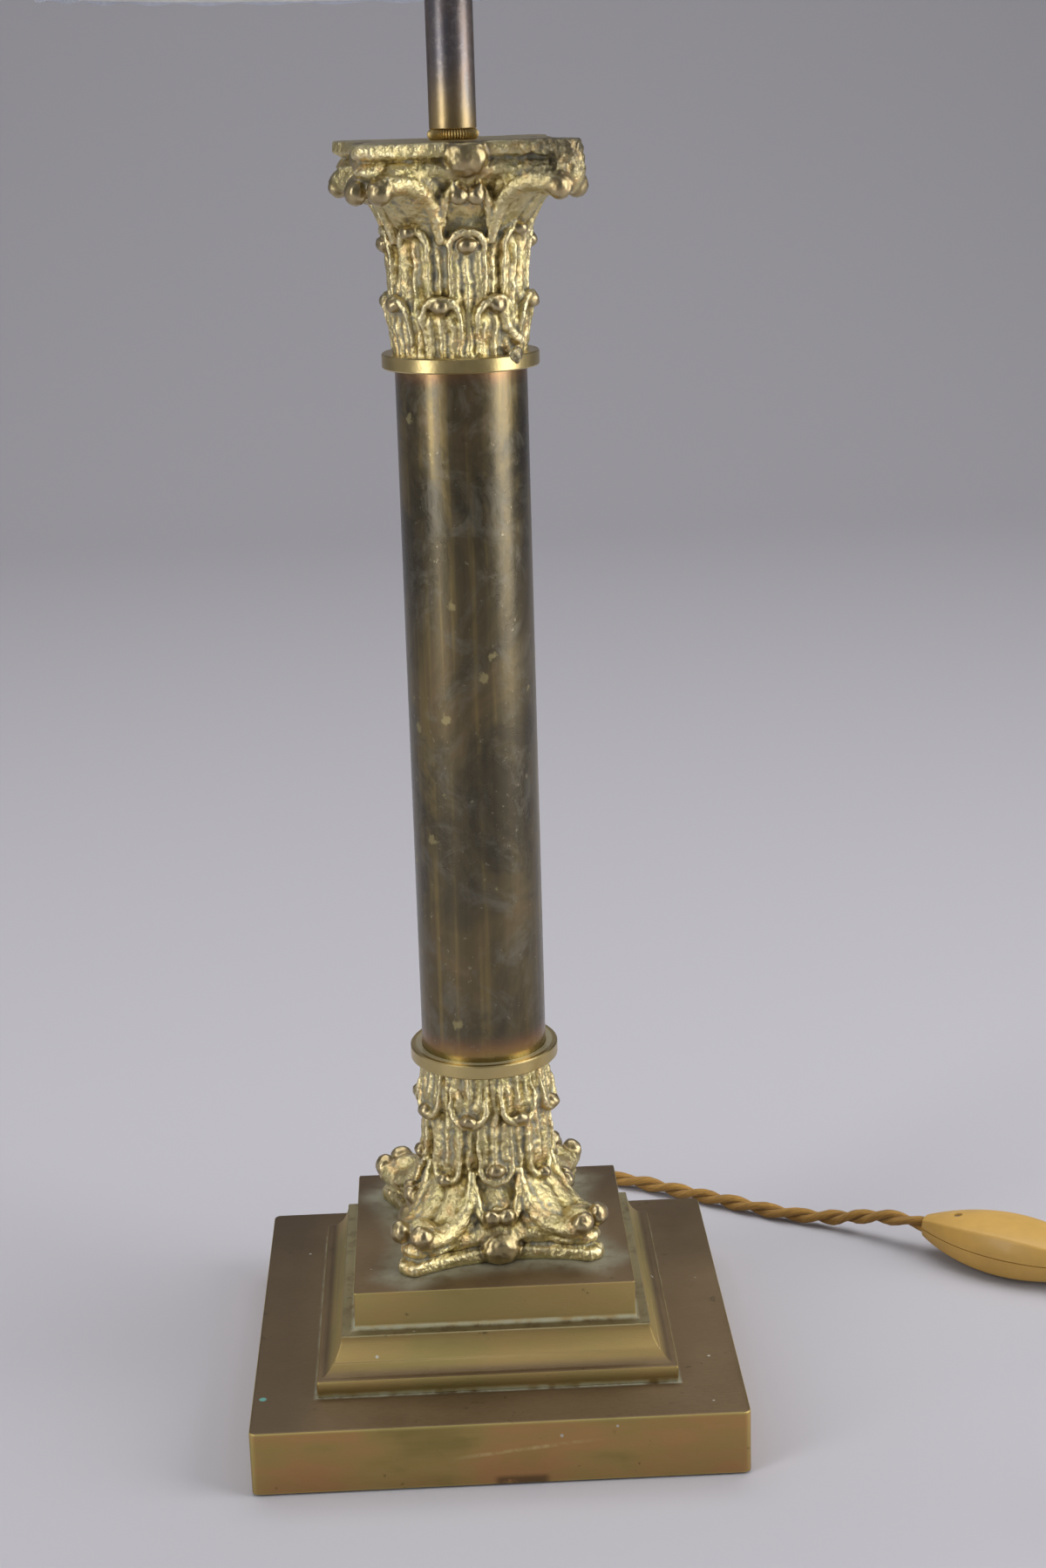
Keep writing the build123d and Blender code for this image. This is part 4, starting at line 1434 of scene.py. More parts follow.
@dataclass
class Casting:
    """The leafy casting, sculpted in its own frame for each end of the column.

    Its own frame has Z up from the column's side to the slab that closes it. Its sizes
    are millimetres, but for the voxel and the turned ring's.
    """

    voxel: float = 0.00054
    ring: float = 0.0238
    ring_height: float = 0.0045
    ring_bore: float = 0.0201
    tube_bore: float = 0.019
    seat: float = 0.0042
    bell: float = 19.3
    bell_foot: float = 3.6
    bell_top: float = 59.0
    flare_from: float = 44.0
    closed_top: float = 66.1
    corner: float = 43.8
    hollow_side: float = 27.0
    cut: float = 3.6
    cut_swell: float = 0.8
    side_steps: int = 22
    lip: float = 1.15
    lower_leaves: LeafRow = LeafRow(22.5, 8, 3.5, 22.6, 7.3, 1.5, 3.7)
    front_leaves: LeafRow = LeafRow(0.0, 4, 5.0, 42.2, 6.6, 1.3, 3.6)
    corner_leaves: LeafRow = LeafRow(45.0, 4, 5.0, 43.0, 6.2, 1.6, 3.5)

    def sculpt(self, faults: Sequence[Object], seed: float) -> Object:
        """Sculpts one casting without its turned ring.

        Args:
            faults: Lumps that this casting has, in its own frame.
            seed: Sets its own unevenness.

        Returns:
            One closed mesh in the casting's own frame.
        """
        (eyes, arms), (bosses, stems), tips = self.scrolls(), self.flowers(), self.leaf_tips()
        knobs = [(corners(knob).mean(axis=0), np.ptp(corners(knob), axis=0) / 2)
                 for knob in (*tips, *eyes, *bosses)]
        body = join([self.bell_with_leaves(seed), self.slab_plate(), *tips, *self.lips(), *eyes, *arms,
                     *bosses, *stems, *faults], "casting")
        points = corners(body)
        points[:, 2] = np.minimum(points[:, 2], self.closed_top * MM)
        put(body, points)
        finish_modifier(body, "REMESH", mode="VOXEL", voxel_size=self.voxel, adaptivity=0.0)
        finish_modifier(body, "SMOOTH", factor=0.5, iterations=4)
        points = corners(body)
        dull = np.zeros(len(points))
        for middle, radii in knobs:
            away = np.linalg.norm((points - middle) / radii, axis=1)
            dull = np.maximum(dull, ease((1.35 - away) / 0.45))
        mark(body, "knob", dull)
        return body

    def bell_with_leaves(self, seed: float) -> Object:
        """Spins the bell from a straight profile and pushes it out into leaves and corner stalks.

        Args:
            seed: Sets how the leaves wander.

        Returns:
            The bell.
        """
        rows, steps, core, start = 128, 400, 10, 20
        heights = np.linspace(self.bell_foot, self.bell_top, rows)
        skin = [(start * MM, height * MM) for height in heights]
        obj = turned("bell", [(0.0, self.bell_foot * MM), *skin, (0.0, self.bell_top * MM)], steps)
        points = corners(obj)
        radius, around = polar(points)
        height = points[:, 2] / MM
        warp = rough(points, 7 * MM, seed) + 0.45 * rough(points * (1, 1, 0.5), 2.6 * MM, seed + 3)
        angle = np.degrees(around) + 90 + warp * 2.6
        tall = height + 0.9 * warp
        relief = np.maximum(self.front_leaves.relief(angle, tall), self.corner_leaves.relief(angle, tall))
        relief = np.maximum(relief, self.stalks(angle, height))
        lower = self.lower_leaves.relief(angle, tall)
        relief = np.where(lower > 0.35, lower, np.maximum(relief, lower))
        relief = np.maximum(relief, 0) * (1 - ease((height - self.flare_from) / 5) * 0.6)
        flare = np.clip(height - self.flare_from, 0, None) * 0.46
        new_radius = np.maximum(self.bell + relief + flare, self.corner_mass(angle, height)) * MM
        scale = np.where(radius > core * MM, new_radius / np.maximum(radius, 1e-9), 1.0)
        points[:, :2] *= scale[:, None]
        put(obj, points)
        return obj

    @staticmethod
    def corner_mass(angle: Array, height: Array) -> Array:
        """Works out the metal that swells towards each corner under the slab.

        Args:
            angle: Angles about Z, in degrees.
            height: Heights above the ring's foot.

        Returns:
            Its radius at each place.
        """
        turn = np.radians(angle % 90 - 45)
        rise = np.clip((height - 37.5) / 20.5, 0, 1)
        reach = 19.5 + 19.5 * rise ** 1.3
        lateral = np.abs(reach * np.sin(turn))
        width = 5.0 + 2.6 * rise
        return reach - 11.0 * ease((lateral - width) / 6.0) * rise ** 0.7 - 0.8 * bell_curve(lateral / 1.3)

    @staticmethod
    def stalks(angle: Array, height: Array) -> Array:
        """Works out the thin ridges between the upper leaves, which lean towards the corners.

        Args:
            angle: Angles about Z, in degrees.
            height: Heights above the ring's foot.

        Returns:
            Their relief at each place.
        """
        relief = np.zeros(len(angle))
        lean = 21.0 + 0.26 * np.clip(height - 20, 0, 30)
        for quarter in range(4):
            for side in (-1, 1):
                centre = 90 * quarter + side * lean
                across = np.radians((angle - centre + 180) % 360 - 180) * 20.5
                ridge = bell_curve(across / 1.05) * 1.25 + bell_curve((np.abs(across) - 2.2) / 0.7) * 0.5
                relief = np.maximum(relief, ridge * ease((height - 17) / 4))
        return relief

    @staticmethod
    def leaf_tips() -> list[Object]:
        """Rolls the leaves' tips: a knob under each leaf's arched head.

        Returns:
            The knobs.
        """
        low = ball((2.9, 2.3, 2.3), (0, -22.5, 19.4))
        high = ball((3.1, 2.0, 2.3), (0, -22.3, 36.6))
        curl = ball((2.4, 2.2, 2.1), (0, -23.4, 40.8))
        return [*ring_of(low, 8, 22.5), *ring_of(high, 4), *ring_of(curl, 4, 45)]

    def lips(self) -> list[Object]:
        """Rolls a lip round the head of every leaf.

        Returns:
            The lips.
        """
        radii = [self.lip * share for share in (0.4, 0.8, 1, 1.1, 1.15, 1.1, 1, 0.8, 0.4)]
        made = []
        for row in (self.lower_leaves, self.front_leaves, self.corner_leaves):
            made += ring_of(self._rod("lip", row.arch(), radii), row.count, row.first)
        return made

    def scrolls(self) -> tuple[list[Object], list[Object]]:
        """Rolls the scrolls under each corner, and the small inner pair under each flower.

        Returns:
            Their round eyes, and then the arms and the webs that carry them.
        """
        eye = ball((3.9, 3.3, 3.8), (25.9, -32.0, 52.9), 20)
        inner_eye = ball((2.9, 2.4, 2.9), (2.5, -25.8, 51.0))
        web = ball((6.6, 5.2, 4.8), (25.0, -25.0, 54.6), 45)
        arm = self._rod("arm", [(7.4, -19.4, 37), (8.4, -20.8, 44), (10.8, -23.0, 50), (15.0, -25.8, 54.0),
                                (20.5, -29.2, 55.6), (25.0, -31.6, 54.2)], [1.3, 2.0, 2.7, 3.3, 3.6, 3.4])
        under = self._rod("under", [(8.0, -20.5, 51), (11.5, -22.5, 55.5), (17.0, -26.0, 57.5),
                                    (23.5, -29.0, 57.5)], [2.6, 3.4, 3.6, 3.4])
        inner_arm = self._rod("inner_arm", [(6.9, -20.2, 41), (6.8, -22.0, 47), (5.2, -24.4, 52.4),
                                            (2.6, -25.6, 53.4)], [1.0, 1.3, 1.6, 1.9])
        eyes = [*ring_of(eye, 4, mirrored=True), *ring_of(inner_eye, 4, mirrored=True)]
        arms = [*ring_of(arm, 4, mirrored=True), *ring_of(under, 4, mirrored=True), *ring_of(web, 4),
                *ring_of(inner_arm, 4, mirrored=True)]
        return eyes, arms

    def flowers(self) -> tuple[list[Object], list[Object]]:
        """Makes the rounded boss in the middle of each hollow side.

        Returns:
            The bosses, and then their stems.
        """
        boss = ball((6.4, 4.3, 5.8), (0, -26.6, 62.0))
        stem = self._rod("stem", [(0, -20.5, 50), (0, -23, 55), (0, -25, 60)], [3.0, 3.2, 3.4])
        return ring_of(boss, 4), ring_of(stem, 4)

    @staticmethod
    def _rod(name: str, points: Sequence[Triple], radii: Sequence[float]) -> Object:
        """A rod whose points and radii are millimetres."""
        return tube(name, [in_metres(point) for point in points], in_metres(radii))

    def plan(self) -> Array:
        """Draws the closing slab's plan: hollow sides and cut corners.

        Returns:
            The plan's corners in order, in millimetres.
        """
        near = (self.corner - self.cut) * math.sqrt(0.5)
        far = (self.corner + self.cut) * math.sqrt(0.5)
        rise = far - self.hollow_side
        radius = (near ** 2 + rise ** 2) / (2 * rise)
        half_turn = math.asin(near / radius)
        turns = np.linspace(-half_turn, half_turn, self.side_steps)
        side = np.stack([radius * np.sin(turns), -(self.hollow_side + radius * (1 - np.cos(turns)))], axis=1)
        blunt = (near + far) / 2 + self.cut_swell
        side = np.concatenate([side, [[blunt, -blunt]]])
        quarter = [np.array([[math.cos(a), math.sin(a)], [-math.sin(a), math.cos(a)]])
                   for a in (math.pi / 2 * i for i in range(4))]
        return np.concatenate([side @ turn for turn in quarter])

    def slab_plate(self) -> Object:
        """Makes the closing slab: an upper fillet, a groove and a heavy lower roll.

        Returns:
            The slab.
        """
        steps = [(0.86, 55.4), (0.93, 56.3), (0.965, 57.5), (0.97, 58.8), (0.95, 60.2), (0.91, 61.0),
                 (0.91, 61.5), (0.97, 61.9), (0.995, 62.6), (1.0, 63.4), (1.0, 65.0),
                 (0.985, self.closed_top)]
        plan = self.plan()
        count = len(plan)
        rings = [np.column_stack([plan * share, np.full(count, height)]) * MM for share, height in steps]
        faces = []
        for below in range(0, (len(rings) - 1) * count, count):
            above = below + count
            faces += [(below + j, below + (j + 1) % count, above + (j + 1) % count, above + j)
                      for j in range(count)]
        faces += [tuple(reversed(range(count))), tuple(range((len(rings) - 1) * count, len(rings) * count))]
        return mesh_object("plate", np.concatenate(rings), faces=faces)

    def turned_ring(self) -> Object:
        """Turns the crisp ring that the column stands in or carries.

        Returns:
            The ring.
        """
        soft, high = 0.0004, self.ring_height
        outline = washer(self.ring_bore, self.ring, 0.0, high, soft)[:-2]
        outline += [(self.tube_bore, high), (self.tube_bore, self.seat),
                    (self.ring_bore, self.seat), (self.ring_bore, 0.0)]
        ring = turned("ring", outline, 144)
        for name, value in (("hollow", 0.5), ("turned", 1.0)):
            mark(ring, name, np.full(len(ring.data.vertices), value))
        return shade(ring, 30)


@dataclass
class CastingSetting:
    """Where one casting stands, how it is turned, and its own faults."""

    name: str
    node: str
    upside_down: bool
    twist: float
    seed: float
    faults: Callable[[], list[Object]] = list

    def place(self, pattern: Casting, shop: PaintShop) -> None:
        """Sculpts the casting, roughens it and sets it on the column.

        Args:
            pattern: The casting's sizes.
            shop: Where it gets its finish.
        """
        body = pattern.sculpt(self.faults(), self.seed)
        burnt = self.burnt(body)
        self.roughen(body, burnt)
        mark_hollows(body)
        mark(body, "burnt", burnt)
        whole = join([shade(body, 180), pattern.turned_ring()], self.name)
        low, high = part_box(self.node)
        if self.upside_down:
            whole.data.transform(Matrix.Rotation(math.pi, 4, "X"))
        lay(whole, (0, 0, high.z if self.upside_down else low.z), self.twist)
        shop.piece(whole, "cast_brass", Body.LAMP, self.node)

    def burnt(self, body: Object) -> Array:
        """Works out how burnt and slaggy the metal is: at the faulty corner and the blob.

        Args:
            body: The casting in its own frame.

        Returns:
            From 0 to 1 at each vertex.
        """
        points = corners(body) / MM
        if self.upside_down:
            return np.zeros(len(points))
        right, front, high = points[:, 0] - 5, -points[:, 1] - 12, points[:, 2] - 55
        corner = ease(right / 20) * ease(high / 3) * ease(front / 8)
        blob = ease((4.6 - np.linalg.norm(points - (13.8, -19.2, 4.0), axis=1)) / 1.5)
        return np.maximum(corner, blob)

    def roughen(self, body: Object, burnt: Array) -> None:
        """Gives the casting its sandy, slumped surface, roughest where it is burnt.

        Args:
            body: The casting in its own frame.
            burnt: How burnt each vertex is.
        """
        points, normals = corners(body), vertex_normals(body)
        flat_top = ease((points[:, 2] - 0.0652) / 0.0006) * ease((normals[:, 2] - 0.7) / 0.2)
        push = (0.30 * rough(points, 3.4 * MM, self.seed)
                + (0.22 + 0.38 * burnt) * rough(points, 1.6 * MM, self.seed + 5)
                + 0.10 * rough(points, 0.9 * MM, self.seed + 9))
        points += normals * (push * (1 - 0.9 * flat_top) * MM)[:, None]
        put(body, points)


def upper_faults() -> list[Object]:
    """Makes the upper casting's faults.

    Returns:
        A swollen corner, a blob over its ring and a smeared leaf.
    """
    swollen = ball((5.4, 4.6, 7.8), (29.2, -29.2, 58.4), 45)
    blob = ball((2.7, 1.2, 2.6), (13.8, -19.0, 4.4), 36)
    reach = 21.4
    path = [in_metres((reach * math.sin(a), -reach * math.cos(a), z))
            for a, z in ((0.50, 21.0), (0.53, 15.0), (0.66, 10.5), (0.84, 8.2))]
    return [swollen, blob, tube("smear", path, 0.0019)]


# ---------------------------------------------------------------- column and stem

@dataclass
class Column:
    """The drawn tube, the milled ring and the stem."""

    shop: PaintShop
    radius: float = 0.020
    milled_radius: float = 0.00765
    milled_bore: float = 0.0052
    bead: float = 0.0005
    beads: int = 52

    def build(self) -> None:
        """Builds the tube, the ring and the stem."""
        tube_piece, stem = self.sleeve("column", "column_tube", self.radius), self.sleeve("stem", "stem_tube")
        self.shop.piece(tube_piece, "column_brass", Body.LAMP, "column_tube")
        self.shop.piece(stem, "stem_metal", Body.LAMP, "stem_tube")
        self.shop.piece(self.milled_ring(), "turned_brass", Body.LAMP, "knurled_ring")

    @staticmethod
    def sleeve(name: str, node: str, radius: float = 0.0) -> Object:
        """Draws a thin tube, very slightly out of true.

        Args:
            name: The piece's name.
            node: The node that it stands for, which gives its ends.
            radius: Outer radius, or 0 for the node's own.

        Returns:
            The tube.
        """
        wall, soft, rows = 0.001, 0.0003, 24
        (_, _, low), (node_radius, _, high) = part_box(node)
        radius = radius or node_radius
        levels = [low + soft + (high - low - 2 * soft) * i / rows for i in range(rows + 1)]
        outline = [(radius - wall, low), (radius - soft, low), *((radius, z) for z in levels),
                   (radius - soft, high), (radius - wall, high), (radius - wall, low)]
        obj = turned(name, outline, 160)
        points = corners(obj)
        points[:, :2] *= (1 + 0.0016 * rough(points, 0.035, 8.0))[:, None]
        put(obj, points)
        return shade(obj, 40)

    def milled_ring(self) -> Object:
        """Turns the small ring with rounded beads all round.

        Returns:
            The ring.
        """
        low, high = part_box("knurled_ring")
        bead, wide, rise = self.bead, self.milled_radius, high.z - low.z
        swell = [(wide - bead * (1 - math.sin(math.pi * t)), low.z + rise * (0.1 + 0.8 * t))
                 for t in (0.0, 0.2, 0.4, 0.6, 0.8, 1.0)]
        outline = [(self.milled_bore, low.z), (wide - 2 * bead, low.z), *swell, (wide - 2 * bead, high.z),
                   (self.milled_bore, high.z), (self.milled_bore, low.z)]
        ring = turned("milled_ring", outline, self.beads * 6)
        engrave(ring, lambda radius, angle, _: (
            np.abs(np.cos(angle * self.beads / 2)) ** 2.5 * bead * 1.3
            * ease((radius - wide + 3 * bead) / bead)))
        return shade(ring, 60)


# ---------------------------------------------------------------- lampholder and bulb

@dataclass
class Lampholder:
    """Cap, threaded shell, clamping rings and the bulb."""

    shop: PaintShop
    wall: float = 0.0016
    neck: float = 0.008
    neck_bore: float = 0.00515
    neck_top: float = 0.0058
    dome_centre: float = 0.0150
    dome_rise: float = 0.0090
    grip_from: float = 0.0148
    grip_ribs: int = 45
    rib: float = 0.0005
    thread_pitch: float = 0.0025
    thread_depth: float = 0.0007
    ring_bore: float = 0.0197
    ring_bites: int = 18
    cap_turns: int = 5
    bulb_radius: float = 0.0295
    bulb_neck: float = 0.0131

    def build(self) -> None:
        """Builds the holder's outside and the bulb."""
        self.shop.piece(self.cap(), "holder_plastic", Body.LAMP, "holder_cap")
        self.shop.piece(self.shell(), "holder_plastic", Body.LAMP, "holder_shell")
        for side in ("lower", "upper"):
            node = f"shade_ring_{side}"
            self.shop.piece(self.clamp_ring(node, f"clamp_ring_{side}"), "holder_plastic", Body.LAMP, node)
        self.shop.piece(self.screw_cap(), "nickel", Body.LAMP, "bulb_cap")
        self.shop.piece(self.bulb(), "bulb_glass", Body.LAMP, "bulb_glass")

    def cap(self) -> Object:
        """Moulds the domed lower half with its neck and a ribbed grip band.

        Returns:
            The cap.
        """
        low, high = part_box("holder_cap")
        neck, wide, bore, soft, inside = self.neck, high.x, self.neck_bore, 0.0004, high.x - self.wall
        dome = [(wide * math.sin(a), low.z + self.dome_centre - self.dome_rise * math.cos(a))
                for a in (math.radians(25 + 65 * i / 10) for i in range(11))]
        room = [(inside, low.z + 0.0156), (0.0148, low.z + 0.0108), (bore, low.z + 0.0066)]
        outline = [(bore, low.z), (neck - soft, low.z), (neck, low.z + soft), (neck, low.z + self.neck_top),
                   *dome, (wide, high.z - 0.0006), (wide - soft, high.z), (inside, high.z), *room,
                   (bore, low.z)]
        cap = turned("holder_dome", outline, 180)
        engrave(cap, lambda radius, angle, height: (
            ease((height - low.z - self.grip_from) / 0.0006) * ease((radius - wide + 0.0008) / 0.0004)
            * self.rib * (0.5 + 0.5 * np.cos(angle * self.grip_ribs))))
        return shade(cap, 35)

    def shell(self) -> Object:
        """Moulds the sleeve above the cap, threaded outside for the clamping rings.

        Returns:
            The sleeve.
        """
        low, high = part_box("holder_shell")
        wide, inside, deep, pitch = high.x, high.x - self.wall, high.x - self.thread_depth, self.thread_pitch
        soft, plain = 0.0003, 0.002
        outline = [(inside, low.z), (wide - soft, low.z), (wide, low.z + soft), (wide, low.z + plain)]
        for i in range(int((high.z - low.z - 2 * plain) / pitch)):
            z = low.z + plain + i * pitch
            outline += [(deep, z + 0.35 * pitch), (deep, z + 0.55 * pitch),
                        (wide, z + 0.9 * pitch), (wide, z + pitch)]
        outline += [(wide, high.z - soft), (wide - soft, high.z), (inside, high.z), (inside, low.z)]
        return shade(turned("holder_sleeve", outline, 96), 30)

    def clamp_ring(self, node: str, name: str) -> Object:
        """Moulds a ring with a scalloped edge to grip.

        Args:
            node: The node that it stands for.
            name: The piece's name.

        Returns:
            The ring.
        """
        low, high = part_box(node)
        ring = turned(name, washer(self.ring_bore, high.x, low.z, high.z, 0.0005), 216)
        engrave(ring, lambda radius, angle, _: (
            ease((radius - high.x + 0.002) / 0.001) * (np.cos(angle * self.ring_bites) > 0.2) * 0.0009))
        return shade(ring, 30)

    def screw_cap(self) -> Object:
        """Makes the bulb's cap: a contact pip, an insulating cone and a rolled thread.

        Returns:
            The cap.
        """
        low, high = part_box("bulb_cap")
        wide, steps = high.x, self.cap_turns * 8
        outline = [(0.0, low.z), (0.0045, low.z), (0.005, low.z + 0.001), (0.0118, low.z + 0.004)]
        for i in range(steps + 1):
            z = low.z + 0.0055 + (high.z - low.z - 0.0075) * i / steps
            outline.append((wide - self.thread_depth * (0.5 - 0.5 * math.cos(math.pi * i / 4)), z))
        outline += [(wide - 0.0002, high.z), (0.0, high.z)]
        return shade(turned("bulb_screw_cap", outline, 72), 40)

    def bulb(self) -> Object:
        """Blows the round opal bulb with its drawn neck.

        Returns:
            The bulb.
        """
        low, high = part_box("bulb_glass")
        centre = high.z - self.bulb_radius
        outline = [(0.0, high.z)]
        for degrees in range(6, 129, 6):
            a = math.radians(degrees)
            outline.append((self.bulb_radius * math.sin(a), centre + self.bulb_radius * math.cos(a)))
        start, end, neck_steps = outline[-1], (self.bulb_neck, low.z), 8
        for i in range(1, neck_steps + 1):
            t = i / neck_steps
            bow = 0.0032 * math.sin(math.pi * t)
            outline.append((start[0] + (end[0] - start[0]) * t - bow, start[1] + (end[1] - start[1]) * t))
        outline.append((0.0, low.z))
        return shade(turned("bulb", outline, 72), 60)


# ---------------------------------------------------------------- shade

@dataclass
class Shade:
    """Gathered cloth on a wire frame, with its trimmings and its three-armed carrier."""

    shop: PaintShop
    foot_radius: float = 0.121
    top_radius: float = 0.076
    foot: float = 0.4424
    height: float = 0.170
    gathers: int = 32
    depth: float = 0.0011
    droop: float = 0.0004
    thick: float = 0.0007
    inset: float = 0.0009
    clear: float = 0.0002
    around: int = 640
    rows: int = 40
    tapes: tuple[tuple[str, float, float], ...] = (
        ("shade_tape_lower", 0.0, 0.047), ("shade_tape_upper", 0.958, 1.0))
    tape_proud: float = 0.0005
    tape_thick: float = 0.0006
    tape_rows: int = 8
    wire_inset: float = 0.0032
    hoops: Pair = (0.012, 0.988)
    hoop_wire: float = 0.0013
    rib_wire: float = 0.0012
    arm_wire: float = 0.0014
    washer_low: float = 0.4933
    washer_thick: float = 0.002
    washer_radii: Pair = (0.0199, 0.0310)

    def radius_at(self, share: Array | float) -> Array | float:
        """The cloth's mean radius at a share of its height."""
        return self.foot_radius - self.inset - (self.foot_radius - self.top_radius) * share

    def fold(self, angle: Array, share: Array) -> Array:
        """Works out how far the gathers stand off the mean.

        Args:
            angle: Angles about Z.
            share: Shares of the height.

        Returns:
            The distance at each place.
        """
        wander = 0.35 * np.sin(3 * angle + 1.3) + 0.22 * np.sin(7 * angle)
        wander = wander + 0.12 * np.sin(13 * angle + 2 * share)
        wave = np.sin(self.gathers * angle + wander * 2.2)
        crease = 0.30 * np.sin(2 * self.gathers * angle + 3 * wander + 1.0) + 0.12 * np.sin(
            5 * self.gathers * angle + 9 * wander + 4 * share)
        slack = 0.55 + 0.45 * np.sin(np.pi * share)
        return self.depth * (wave + crease) * slack * (0.7 + 0.3 * np.sin(5 * angle + 0.6))

    def build(self) -> None:
        """Builds the cloth, the trims and the wires."""
        cloth = self.band("shade_cloth", 0.0, 1.0, 0.0, self.thick, self.rows)
        self.shop.piece(cloth, "shade_cloth", Body.SHADE, "shade_fabric")
        for name, low, high in self.tapes:
            tape = self.band(name, low, high, self.tape_proud, self.tape_thick, self.tape_rows)
            self.shop.piece(tape, "shade_cloth", Body.SHADE)
        self.shop.piece(self.wires(), "shade_wire", Body.SHADE, "shade_frame")
        self.shop.piece(self.carrier(), "shade_wire", Body.SHADE, "shade_spider")

    def band(self, name: str, low: float, high: float, proud: float, thick: float, rows: int) -> Object:
        """Sews a strip of cloth round the shade.

        Args:
            name: The piece's name.
            low: Share of the height where it starts.
            high: Share of the height where it ends.
            proud: How far it stands outside the cloth.
            thick: Its thickness.
            rows: Rows of faces up its height.

        Returns:
            The strip, closed all round.
        """
        strip, points = sheet_of(name, 1, self.around, rows)
        angle = (points[:, 0] + 0.5) * 2 * np.pi
        share = low + (points[:, 1] + 0.5) * (high - low)
        radius = self.radius_at(share) + self.fold(angle, share) + proud
        droop = self.droop * np.sin(self.gathers * angle + 1.2) * (1 - share)
        height = self.foot + self.clear + share * (self.height - 2 * self.clear) + droop
        put(strip, np.stack([radius * np.cos(angle), radius * np.sin(angle), height], axis=1))
        unwrap(strip, "weave", np.stack([angle * self.foot_radius, share * self.height], axis=1))
        mend(strip)
        finish_modifier(strip, "SOLIDIFY", thickness=thick, offset=-1.0)
        return shade(strip, 60)

    def wires(self) -> Object:
        """Bends the two hoops and six ribs just inside the cloth.

        Returns:
            The wires as one piece.
        """
        parts = []
        low, high = self.hoops
        for share in self.hoops:
            bpy.ops.mesh.primitive_torus_add(
                major_radius=self.radius_at(share) - self.wire_inset, minor_radius=self.hoop_wire,
                major_segments=144, minor_segments=12, location=(0, 0, self.foot + share * self.height))
            bpy.ops.object.transform_apply(location=True, rotation=True, scale=True)
            parts.append(bpy.context.object)
        path = [(0, -(self.radius_at(share) - self.wire_inset), self.foot + share * self.height)
                for share in (low, 0.5, high)]
        parts += ring_of(tube("rib", path, self.rib_wire), 6, 60)
        return shade(join(parts, "shade_wires"), 60)

    def carrier(self) -> Object:
        """Makes the washer on the holder and its three arms down to the lower hoop.

        Returns:
            The carrier.
        """
        low = self.washer_low
        plate = turned("carrier", washer(*self.washer_radii, low, low + self.washer_thick, 0.0003), 72)
        arm = tube("arm", [(0, -0.0302, low + 0.001), (0, -0.036, low - 0.0005),
                           (0, -0.108, self.foot + 0.0065),
                           (0, -(self.foot_radius - 0.0062), self.foot + 0.0032)], self.arm_wire)
        return shade(join([plate, *ring_of(arm, 3, 180)], "shade_carrier"), 50)


# ---------------------------------------------------------------- cord

